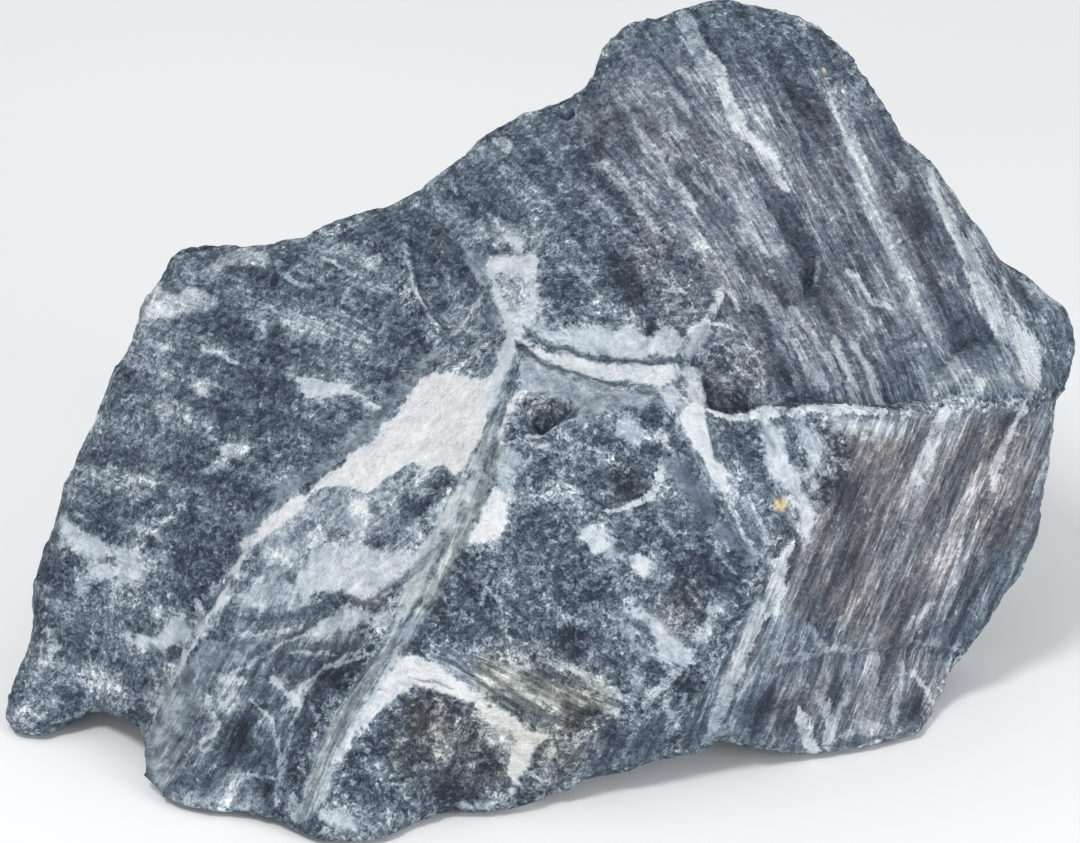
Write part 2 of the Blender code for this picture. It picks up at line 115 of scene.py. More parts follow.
# The upper slope's grain: how across and up turn into along it, and how up turns into across it
UPPER_ALONG = (0.57, -0.82)
UPPER_ACROSS = 0.55

# In how many steps a curve is added up from its slopes
CURVE_STEPS = 441

# How many radii away a soft stroke still counts, and how fast a stroke's width runs out past its end
SOFT_REACH = 2.6
END_SLOPE = 0.75

# Blender's noise vectors start from the time of day unless they are given a seed
NOISE_SEED = 1

# Lightness: the plain rock's, the veins' and that of the seams and painted shade lines, and the colours, on a
# screen's 0 to 255 scale, that lightness turns into
BASE_TONE = 0.42
VEIN_TONE = 1.3
SEAM_AND_SHADE_TONE = 0.24
ROCK_COLOURS = ((0.0, (20, 29, 42)), (0.28, (53, 65, 81)), (0.52, (94, 106, 120)), (0.78, (146, 157, 168)),
                (1.0, (190, 197, 204)), (1.2, (214, 219, 222)), (1.4, (237, 239, 239)))
RUST_COLOURS = ((0.2, (128, 112, 78)), (0.6, (190, 178, 140)), (1.0, (214, 206, 180)))
BROWN_TINT = (1.25, 0.99, 0.84, 1.0)
OLIVE_TINT = (1.02, 0.99, 0.84, 1.0)

# Noises of the rock: in even coordinates ("place") or along the leaves ("leaf"); the size of one unit in
# millimetres, a shift, then detail, roughness and twist
NOISES = {
    "blotch": ("place", (4.6, 4.6, 4.6), (0, 0, 0), 4, 0.68, 0.6),
    "lace": ("place", (2.8, 2.8, 2.8), (3, 8, 5), 3, 0.75, 0.8),
    "fleck": ("place", (1.2, 1.2, 1.2), (9, 2, 4), 2, 0.62, 0.3),
    "grain": ("place", (0.42, 0.42, 0.42), (0, 0, 0), 0, 0.55, 0.0),
    "net": ("place", (5.0, 5.0, 5.0), (4, 4, 1), 2, 0.55, 0.9),
    "band": ("leaf", (16.0, 16.0, 2.4), (0, 0, 0), 3, 0.62, 0.3),
    "wisp": ("leaf", (8.0, 8.0, 1.1), (1, 4, 2), 2, 0.6, 0.5),
    "thread": ("leaf", (22.0, 22.0, 0.5), (2, 6, 8), 2, 0.6, 0.0),
    "sheaf": ("leaf", (34.0, 34.0, 3.2), (5, 1, 8), 3, 0.6, 0.1),
}

# The studio: the even light all round, then lamps by direction, distance and size in metres, watts, colour
SKY_COLOUR = (0.97, 0.985, 1.0, 1.0)
SKY_STRENGTH = 0.66
LAMP_AIM = (0.0, 0.0, 0.05)
LAMPS = {
    "key": ((-0.3, -0.6, 1.0), 1.4, 0.35, 9.0, (1.0, 0.985, 0.96)),
    "fill": ((1.0, -0.9, 0.3), 1.6, 0.9, 12.0, (1.0, 0.99, 0.98)),
    "front": ((-0.35, -1.0, 0.12), 1.8, 0.9, 7.0, (1.0, 1.0, 1.0)),
}
FLOOR_REACH = 3.0
FLOOR_DROP = 0.0002
FLOOR_COLOUR = (0.86, 0.87, 0.88, 1.0)

# How far leaf coordinates are apart across one small face, in millimetres, where two regions meet
LEAF_JUMP = 3.0

# How far a stroke's numbers are kept beside it, how near another stroke crowds it, how many layers the
# strokes are shared out over, and what a vertex holds that no stroke reaches: distance, half width, strength
STROKE_REACH = 2.2
CROWDING_REACH = 1.5
VEIN_LAYERS = 7
SEAM_LAYERS = 4
NO_STROKE = (9.0, -9.0, 0.0)

# How far from quartz its distance is still worked out, and how deep the seams and shade lines are cut
QUARTZ_REACH = 9.0
SEAM_DEPTH = 0.35

# Veins: strength, half width, then corners (across, up) with a half width of their own where it changes
VEINS = (
    # The slope at the upper right
    (.62, 2.1, (29, 80), (32, 73.5), (33, 71, 1.6)),
    (.9, 1.3, (34, 73, 1), (36, 70), (36.5, 66), (38.5, 62, 1.5), (40.5, 58, 1.1), (43, 55.5, 1),
     (45.5, 53, 1.5), (47, 50), (48.5, 47, .9), (49.5, 45.5, .3)),
    (.6, .8, (28, 70), (31, 68.5), (36, 69.5)),
    (.55, .5, (26, 66.5), (30, 61.5)),
    (.55, .5, (31, 64), (36, 58)),
    (.6, .6, (27, 65), (29, 62.5), (30, 61)),
    (.55, .6, (19, 59.5, .4), (19.7, 57), (21, 55, .8), (24, 53, .9), (25, 51)),
    (.6, .9, (10, 51, .4), (12, 51), (14, 50.5), (16, 47.5, 1.1), (18, 45), (19.5, 42.5, .7), (21, 40, .6),
     (24, 37.5, .5), (27, 36, .4)),
    (.75, .9, (26, 48, .7), (28, 46), (30, 43), (31, 42, .5)),
    (.5, .6, (31, 48), (36, 44), (40, 41)),
    (.5, 1.2, (40, 39, 1), (43, 36), (46, 33.5), (49, 34, 1.2)),
    (.45, .4, (43, 72), (45, 68), (48, 63), (52.5, 55)),
    (.7, .5, (57, 66), (60, 60), (61, 57)),
    (.55, .6, (59, 47), (62, 40)),
    (.7, 1.1, (72, 48.7), (73, 47.3)),
    (.86, 1.6, (78, 50.5, .6), (79, 47, 1), (81, 42, 1.2), (83.5, 37, 1.4), (86, 32), (88, 28, 2.4),
     (90, 24, 2.6), (92, 20, 2.2), (95, 18, 2.5), (98, 15, 2.2), (99, 8, 1.5)),
    (.7, .4, (86, 39), (88, 33), (91, 30), (93, 26), (95, 22), (98, 20.5), (101, 20)),
    (.6, .5, (93, 31), (97, 27), (104, 23)),
    (.8, .7, (62, 30), (65, 26), (67, 23.5), (70, 22.5)),
    (.7, .9, (59, 16), (61.5, 10), (64, 5)),
    (.7, .8, (63, 16), (66, 10), (69, 4)),
    (.55, 1, (43, 26), (47, 21), (50, 16), (54, 11), (57, 7)),
    (.55, .8, (50, 22), (54, 17), (58, 12), (61, 6)),
    (.75, .35, (36, 24, .7), (36.2, 26.2), (37.5, 26.5), (39, 24), (40, 22)),
    (.9, .45, (38.6, 18.4), (36.6, 19.6), (34.4, 20), (32, 19), (29.6, 16.6)),
    (.9, .8, (36.2, 24), (35.6, 22.4), (34.4, 21.8)),
    (.85, 1.2, (88, 7.6), (88.3, 6.6)),
    (.45, .7, (12.5, 62), (14, 61)),
    (.45, .3, (8, 64.5), (7.5, 61.5), (6.5, 58.5), (5.3, 55)),
    (.5, .5, (6, 43), (9, 41), (11, 39), (12.5, 38)),
    (.45, .4, (3, 44.5), (4.5, 47)),
    (.65, .5, (18, 34.8), (20, 33.8)),
    (.75, .5, (26.5, 26.8), (28.5, 25.6)),
    (.5, .5, (55.8, 32), (55.2, 28.4)),
    (.55, .6, (3.5, 30.2, .3), (6, 31), (7, 30.3), (9, 28.5), (10, 27.3)),
    # The slope at the upper left
    (.8, .9, (-8.6, 56), (-7, 55.4), (-6.6, 54.6)),
    (.65, .45, (-17.6, 48.5), (-17, 46)),
    (.75, .4, (-11.3, 25), (-14, 21.5), (-16.5, 19), (-18, 17.3)),
    (.65, .4, (-27.4, 35.6), (-25.8, 29), (-24.8, 25), (-22.6, 21.6), (-19.6, 18.6)),
    (.5, .35, (-10.3, 42), (-9, 39.5), (-7.5, 37)),
    # The left face
    (.6, .6, (-52, 29.5), (-49, 27), (-46, 27), (-44, 28.5)),
    (.75, .6, (-67, 15), (-60.5, 11.5)),
    (.7, .5, (-43, 32.4), (-40.6, 31.4), (-37.6, 29.2)),
    (.6, .3, (-41.6, 20), (-38, 18.4), (-34.6, 16.6)),
    (.7, .8, (-86.5, -9), (-85.5, -9.4)),
    (.6, .3, (-93, -18.5), (-90, -20)),
    (.8, .6, (-75.3, -20.3), (-73.5, -19.5)),
    (.5, .4, (-71, -33), (-72, -37), (-71.5, -39)),
    (.6, .6, (-69, -36), (-68, -38.5), (-67, -40)),
    (.45, .4, (-78, -50), (-77.5, -53), (-76.5, -55)),
    (.75, .8, (-98, -42), (-96.5, -44), (-97.5, -46), (-99, -49, .4)),
    (.65, .5, (-99.5, -44.5), (-99.8, -48)),
    (.45, .35, (-95.5, -19), (-95.4, -28), (-95.5, -34)),
    (.55, .7, (-103.4, -60), (-102.4, -60.3)),
    (.6, .5, (-97, -60.3), (-95, -60.6)),
    # The flank below the quartz
    (.7, .5, (-60, -43.2), (-55, -42.6), (-51, -42), (-48, -40.8)),
    (.6, .4, (-50, -46.8), (-46, -46.4), (-41, -47)),
    (.7, .5, (-43, -49.4), (-38, -48), (-33.4, -46)),
    (.75, .9, (-65, -50.6), (-62.6, -52.4), (-59.6, -52.4)),
    (.7, .6, (-66.4, -55), (-66, -58.4), (-64.4, -61), (-66.6, -63.6), (-70, -66)),
    (.6, .8, (-63.4, -59), (-62.6, -56), (-61, -55)),
    (.55, .5, (-56, -25), (-52, -26.8), (-50, -29)),
    (.5, .4, (-36.6, -56.8), (-38.6, -58.4), (-39.6, -62), (-41.6, -66.4), (-43.6, -72)),
    (.7, .4, (-64.4, -52), (-59.2, -49.8), (-55.6, -46.8), (-51, -44.1), (-46.4, -42.6)),
    (.7, .4, (-28, -42), (-35.8, -46.2), (-42.6, -49.3), (-46.2, -51.9), (-48.8, -55), (-51.9, -57.6)),
    (.6, .25, (-62.3, -70.9), (-55, -71.4), (-51.9, -71.7)),
    (.6, .25, (-41.6, -71.7), (-37, -71), (-33, -70)),
    (.5, .4, (-60, -43), (-56, -43.2), (-52, -43)),
    (.8, .9, (-53.6, -51.8), (-50.4, -54.5), (-49, -57)),
    (.55, .6, (-46.3, -56.6), (-45.2, -60)),
    (.7, .35, (-58, -56.2), (-54.7, -58.7), (-52.6, -63.4), (-51.7, -67.7), (-52.1, -73.6), (-53, -77)),
    (.65, .35, (-44.9, -51.9), (-48.3, -55.7), (-50, -62.1), (-50.6, -66.4), (-51.5, -70.7)),
    (.6, .5, (-47.9, -66.4), (-47, -70.7), (-47.4, -75)),
    (.8, 1.2, (-49.2, -74.5, .3), (-49, -77), (-48.8, -79.2, 1.5)),
    # The front face, left of the middle
    (.6, .25, (-11.4, -32.4), (-8, -37), (-6.6, -40), (-6.4, -44)),
    (.6, .25, (-9.4, -29), (-11, -33), (-12.4, -38)),
    (.45, .3, (13.5, -18.5), (14, -22), (15, -25)),
    (.6, .5, (17.6, -20.4), (19.6, -21)),
    (.5, .8, (25, -20), (26, -22)),
    (.85, .35, (-7.6, -4.4), (-5, -3.6), (-2, -3.8), (1, -3), (3, -1.4)),
    (.5, .8, (-1, -5), (2, -6), (3.5, -8, .4)),
    (.65, .35, (4, -1), (6.5, .3), (9, 2.4), (11, 4.8), (13, 6)),
    (.6, .25, (14, 2.5), (18, 2.8), (22, 3.2)),
    (.92, .7, (13, -18.3, .3), (17, -17), (20, -16.5, 1), (22, -15, .6)),
    (.95, .8, (19, -16.4, .5), (21.6, -15.6), (23.6, -13), (24.4, -10), (26.2, -7.4, .6)),
    (.6, .6, (24, -3, .8), (25.5, -6), (23.5, -9, .4)),
    (.9, .45, (25.5, -5), (28, -8), (30, -11), (31, -14), (34, -18), (36.5, -22.5), (38, -26)),
    (.85, .5, (36, -11), (38, -16), (40, -21), (42.5, -27), (43.5, -29)),
    (.75, .7, (35.5, -25), (37, -28), (39, -30.5, .4)),
    (.55, .9, (-3, -44.5, .5), (1, -45.5, 1.2), (4, -48, .8)),
    (.45, .7, (-8, -45), (-4, -47), (0, -49.5)),
    (.75, .9, (.4, -47.6, .5), (4.2, -48.6), (7, -50.4), (12, -53.2), (16, -54.8, .6)),
    (.6, .5, (-9.8, -51), (-6, -52), (-3, -53.2)),
    (.6, .6, (-2, -54.8), (2.6, -56.6), (4.4, -58.4)),
    (.55, .35, (-17.6, -49.3), (-13.6, -52), (-9.4, -55), (-5, -58)),
    (.55, .6, (7.6, -57), (12, -55.6)),
    (.55, .6, (-11, -61), (-11.6, -66)),
    (.6, .8, (12, -54), (15, -55)),
    (.5, .35, (16, -55.5), (20, -56), (22, -57.3)),
    (.5, .35, (18, -55), (21, -56.5)),
    (.6, .9, (12, -57), (16, -59)),
    (.7, 1, (20, -57.8, .4), (22, -56), (24, -54), (26, -51.5), (29, -48.5), (31, -46, .6)),
    (.6, .7, (25.6, -57), (26.4, -55.4), (28.4, -55), (29.4, -57), (28, -58.8), (26, -58.4), (25.6, -57)),
    (.7, 1.3, (33.4, -40.5, .8), (32.6, -42), (32, -44)),
    (.6, .8, (34, -38), (37, -37)),
    (.6, .5, (-17, -70), (-15.5, -69), (-12, -68.4)),
    # The ledge and the face below it
    (1, .9, (34, 2, .6), (37, 1), (40, .6), (44, 1.6), (50, 1.9), (55, 2.2), (59, 2.2), (64, 2),
     (69, 1.4, .5)),
    (.55, .5, (64, 5), (69, 3)),
    (.92, 1.1, (81, 2), (79.6, -3, 1.4), (77.6, -8, 1.2), (75, -13, .9), (72.4, -17.6, .3)),
    (.6, .5, (80, -5), (78.5, -9), (78, -11)),
    (.84, .8, (97, 3, 1), (95.5, 0), (93.5, -4), (91.5, -9), (90, -14, .4)),
    (.95, 1.8, (50, -25, .8), (48.4, -29, 1.4), (47.4, -33), (45.6, -38)),
    (.8, 1.4, (45, -36, 1), (43, -40), (41, -45), (38.6, -51), (36.6, -57), (34.4, -62)),
    (.6, 1, (36.4, -62, 1.2), (33, -64.5)),
    (.55, .8, (79, -36, .4), (76, -39), (73.5, -42.5)),
    (.45, .3, (74, -44), (78, -45), (84, -46)),
    (.65, .7, (52, -47), (57, -46.6), (61, -46), (65, -46.2)),
    (.6, 1, (54, -41, .4), (56, -44), (57, -46)),
    (.6, .8, (67.2, -47), (67, -51), (66, -57)),
    (.6, .6, (72.6, -49), (72, -54), (70.6, -60)),
    (.75, .4, (74.5, -50), (77, -54), (78.5, -57)),
    (.5, .9, (57, -54), (56, -58)),
    (.9, 1.4, (51.5, -58, .6), (53, -62), (54, -66)),
    (.75, 1.4, (56.4, -56), (58.4, -60), (57.6, -65)),
    (.6, .7, (62, -49), (61, -55), (59.4, -60)),
    (.6, 1.1, (61, -63), (65, -61), (67, -61.5)),
    (.6, .5, (47, -62), (46, -66)),
    (.45, .4, (15, -70), (17, -66), (18.5, -62)),
    (.6, .8, (48.5, -48), (54, -47.6)),
)

# Seams and shade lines: dark lines and cracks, in the same form. Some are painted shade where a pit, a
# pocket, a recess or the ground under a step or under the foot lies in shadow
SEAMS_AND_SHADE_LINES = (
    (1, .5, (-3.2, 19), (0, 16), (4, 14.6), (8, 13.4), (12, 12.5), (16, 12), (20, 11.6), (24, 11.8),
     (27, 12.2)),
    (.9, .5, (-4.2, 15, .9), (-2, 13.2, .7), (2, 11.2), (6, 9.9), (10, 8.6), (14, 7.8), (18, 7.6)),
    (.4, .3, (-4.6, 5.2), (0, 5), (7, 5)),
    (.6, .4, (20, 7), (23, 6), (24.2, 3.4)),
    (.6, .35, (27, 11), (27.5, 9), (28, 7.4)),
    (.5, .6, (10, 21), (14, 19.8), (16, 19), (20, 20)),
    # Painted shade: the next two darken pits
    (.9, .7, (3.6, 61.9, .3), (5, 61.7, .9), (6.6, 61.3, .4)),
    (.6, .8, (-24.4, 45.8), (-23, 45.4)),
    (.6, .3, (-15.6, 45.2), (-14.4, 44)),
    # Painted shadow, cast by the edge of the left face into the recess beside it
    (.6, .5, (-25.4, 35), (-24.2, 30), (-23.6, 25), (-21.8, 22.4), (-19, 19.6)),
    (.5, .4, (17.5, 53), (20, 50)),
    # The same painted shadow, lower in the recess
    (.5, .5, (-19.6, 21), (-19, 18)),
    (.9, .4, (1, -9), (4, -11.5), (8, -13), (10.5, -15.5), (13.5, -17.5)),
    (.6, .25, (4.5, -4.5), (8, -6), (10.5, -8), (12, -11), (14.5, -14)),
    (.6, .25, (7, -10.5), (9, -13)),
    (.8, .4, (13.5, -17.5), (17, -16.3), (19, -15), (20, -11), (22, -8), (23.7, -6.5)),
    (.6, .3, (-3, -14), (-1.5, -16), (0, -18), (2.5, -19.5)),
    (.7, .7, (34, -1), (35, -4), (35.5, -8)),
    (.6, .7, (38, -2), (40, -5), (41.5, -9)),
    (.6, .6, (49.5, -1), (50.5, -4), (51.5, -9)),
    (.5, .5, (44, 0), (45.5, -2), (46.5, -6)),
    (.9, .5, (-19.4, -47.4), (-15.4, -50.4), (-11.4, -53.3, .6), (-7, -56.4), (-2.4, -59.1), (2, -61.6)),
    (.7, .5, (-14, -48.6), (-8.9, -51.8, .8), (-4.4, -55.2), (.6, -58.8), (5.2, -61.4)),
    (.7, .25, (-25, -51.7), (-21, -52.5), (-17.4, -54)),
    # Painted shade in a dark pocket
    (.9, .6, (54.4, 32.4, .4), (53.6, 29), (54, 25.4, .4)),
    (.7, .5, (-.6, -69.5), (-1.4, -68), (.6, -65.5), (3.6, -64.6), (4, -68)),
    (.75, 1.1, (21, -42), (20.4, -41)),
    (.5, 1.2, (23, -38), (26, -42), (29, -44.6)),
    # The flank
    # The next two are dark seams and, in part, painted shadow under the step beside them
    (.75, .5, (-60, -39.4), (-56, -39.6), (-50, -39), (-45.6, -38), (-43, -36.4, .8), (-39.4, -35.4, .9),
     (-36, -37, .7), (-31, -36.6)),
    (.55, .7, (-32, -34.4, .5), (-28, -32.4), (-25, -30), (-22.6, -27, .7), (-20.6, -24.6, .4)),
    (.6, .6, (-52.6, -43.2), (-48.6, -42.4), (-45.4, -40.6), (-42.6, -38.6, .3)),
    (.55, .5, (-61, -35.4), (-58, -32), (-53, -29)),
    (.5, .4, (-62, -45), (-57, -44.4), (-53, -44.8)),
    (.6, .4, (-57, -26.5), (-54.5, -23.5)),
    (.5, .5, (-50.4, -42.9), (-45.7, -40.4)),
    (.6, .6, (-45.7, -45.3), (-39.3, -45.1), (-33, -44.2)),
    (.7, .9, (-33.8, -17.2), (-33.2, -18.2)),
    (.7, 1, (-66.6, -37.6), (-64.6, -34.4), (-62.4, -31.6)),
    (.7, 1.2, (-62, -27.4), (-61, -26.8)),
    (.6, .5, (-70.4, -41), (-71.2, -40), (-70, -39.2), (-68.8, -40)),
    (.7, .6, (-78.7, -36), (-78.3, -40)),
    (.5, 1.1, (-83, -46), (-81.5, -50)),
    (.5, 1.4, (-92.4, -40), (-92.6, -49)),
    (.5, .9, (-78, -45.6), (-76.6, -47.6)),
    (.6, 1, (-76.4, -50.5), (-75, -54.5)),
    (.6, .8, (-99, -35), (-95, -35.4)),
    (.6, .9, (-97.6, -28), (-97.2, -29.4)),
    (.8, .5, (-104, -62.3), (-98, -61.8), (-92, -60.2), (-90, -58.6)),
    # The face at the right and the foot below it
    (.4, .5, (85, 36), (87, 31), (90, 27.5), (93, 23)),
    (.35, .5, (66, 1), (62, -9), (57, -20), (52, -30)),
    (.4, .4, (72, 0), (68, -12), (63, -24), (57, -38)),
    (.4, .4, (88, 2), (84, -12), (80, -24), (74, -38)),
    (.5, .3, (60, -45.9), (66, -46.8), (74, -46)),
    # Painted shadow under the foot
    (.8, .8, (57, -65.6, .3), (62, -64.8), (70, -63.2, .4)),
    (.6, 1, (46.6, -49.6), (47.6, -49.4)),
    (.6, 1, (41, -57), (44, -60)),
    (.4, .5, (33, -50), (30, -56), (26, -62)),
)

# Quartz: whiteness, half width, then corners; wide strokes that run together. Low whiteness is smooth
# grey rock
QUARTZ = (
    # The tee above the middle, and its legs down to the big body at the left
    (.9, 1.8, (-9.6, 31, 1.3), (-7, 31.2, 2), (-3, 31.2, 2.2), (-.9, 31.8, 1.5)),
    (.85, .9, (-7, 37.4, .6), (-6, 36), (-4, 34.4, 1.2)),
    (.86, 1.4, (-2.2, 30, 2), (-2.2, 28), (-2, 25, 1.3), (-1.7, 22.5, 1.1), (-2.2, 20, 1.3), (-3.6, 18.4)),
    (.88, .8, (-9.6, 30, 1.1), (-9.2, 27.5, .7), (-8.4, 24.6, .6), (-7.4, 22, .7), (-6.4, 20, 1.2),
     (-5.8, 18, 1.3), (-5.9, 15, 1.3), (-7, 12, 1.5), (-8.2, 9.5, 1.6), (-9.6, 6.5, 2), (-11, 3, 2.5)),
    # The hollow's end of the bands over it
    (.8, 1.4, (26.6, 7, 1.6), (26.4, 4.4, 1.8), (29, 3)),
    (.7, 2, (30.6, 10), (30.6, 6.4), (31, 4.2, 1.4)),
    (.72, 1.6, (29.6, 13.6), (31, 16, 1.9), (33.6, 18)),
    # The big vein down the front, and those to its right
    (.94, 2.3, (30, 2.4), (30.8, 0), (32.3, -4, 1.9), (34, -8, 1.5), (35.8, -11.5, 1.1), (37, -14, .8),
     (39, -17, .3)),
    (.8, 1.8, (44.5, 1), (46, -3), (47.5, -8, 2.2), (50, -12, 2.3), (52.5, -16, 1.7), (53.5, -20, 1.6),
     (54, -24, 1.1)),
    (.65, 1, (51.4, 1), (53, -3, 1.2), (54.5, -7, 1.1), (55, -11, .9), (54.5, -15, .6)),
    (.6, 1, (59, 0), (63, -1, 1.2), (67, -1.4, 1.4), (70, -.6, .8)),
    # Patches on the front face
    (.7, 1.4, (16, -1, 1), (18, -2), (19.6, -3)),
    (.86, 2.2, (9.4, -22.2, 1.6), (11.8, -25.4)),
    (.6, .7, (8.2, -17.6), (8.8, -20.2, .9), (9.6, -22)),
    (.55, .8, (13, -26.4, 1.2), (16.6, -27.6), (19, -28.4)),
    (.94, 1.6, (19.4, -27.2, 1.2), (20.2, -29, 1.8), (20.6, -31.6, 1.3)),
    (.8, 1.4, (16.6, -37.8, .6), (21, -38.8, 1), (24, -41.4, 1.8), (25.4, -45, 2.4), (28.4, -48.2, 2)),
    (.6, .8, (15.4, -39), (17.4, -41.4), (18.6, -44.4), (21.4, -47.4)),
    # The vein along the foot
    (.7, .6, (-6.6, -76.4, .8), (-11, -77.4, .5), (-15, -77.7, .3)),
    (.8, 1.3, (1.4, -67.6, .8), (2.8, -66.6)),
    (.8, 2.2, (-43.4, -78.6), (-40, -80), (-37, -80.8, 1.4)),
    # The left face and its foot
    (.75, 1.3, (-67.4, -41.2), (-66.8, -38.6, .7)),
    # The white rim along the border of the left face, and the smooth grey band beyond it
    (.9, 1, (-57.6, -23.6, 1.4), (-60, -28, 1.1), (-62.6, -32.6, .8), (-66, -38, 1), (-68.4, -43, 1.2),
     (-71, -47.4, 1), (-74.6, -53, .9), (-77.2, -59, .7)),
    (.34, 1.6, (-20, 14.6, 1.1), (-25, 10), (-30, 3.5), (-35, -2.8), (-40, -6.4), (-45, -10.6), (-50, -13.8),
     (-55, -17.4), (-58.8, -22)),
    (.36, .9, (-8.4, 19), (-9.4, 22), (-11.4, 26), (-12.8, 30), (-14, 33.4)),
    # The nose: thin bands that run down its crest to the foot
    (.62, 1, (-5.6, 14, .4), (-6.8, 9, .6), (-7.8, 5), (-9, 0, 1.2), (-10.6, -4.4), (-12.6, -8)),
    (.95, .7, (-3.4, 5.8), (-5, 4.4), (-6.4, 1.6), (-7.4, -1), (-8.4, -3.4, .4)),
    (.74, 1.7, (-13.2, -6.4, 1), (-13.6, -10), (-16.2, -15), (-19.2, -20, 1.9), (-22, -25, 1.9), (-23.8, -30),
     (-26, -35), (-28.4, -40, 1.1)),
    (.46, 1.6, (-8, -5, .7), (-9.8, -10, 1.3), (-12.2, -15, 1.7), (-14.5, -20, 1.9), (-17.3, -25, 2.1),
     (-20, -30), (-22.3, -35), (-25.3, -40), (-28.4, -45, 1.3), (-32.8, -50, 1.4), (-35.6, -55, 1.6),
     (-39.4, -60, 1.9), (-42, -65, 1.9), (-43.4, -70), (-45.4, -75, 1.8), (-47.6, -79.6, 1)),
    (.85, .7, (-29.6, -48, 1), (-31.4, -52.4, 1.2), (-34.6, -57, .9), (-38, -62.6, .7), (-41, -68, .7),
     (-43, -73, .8), (-44.6, -77, 1.2)),
)

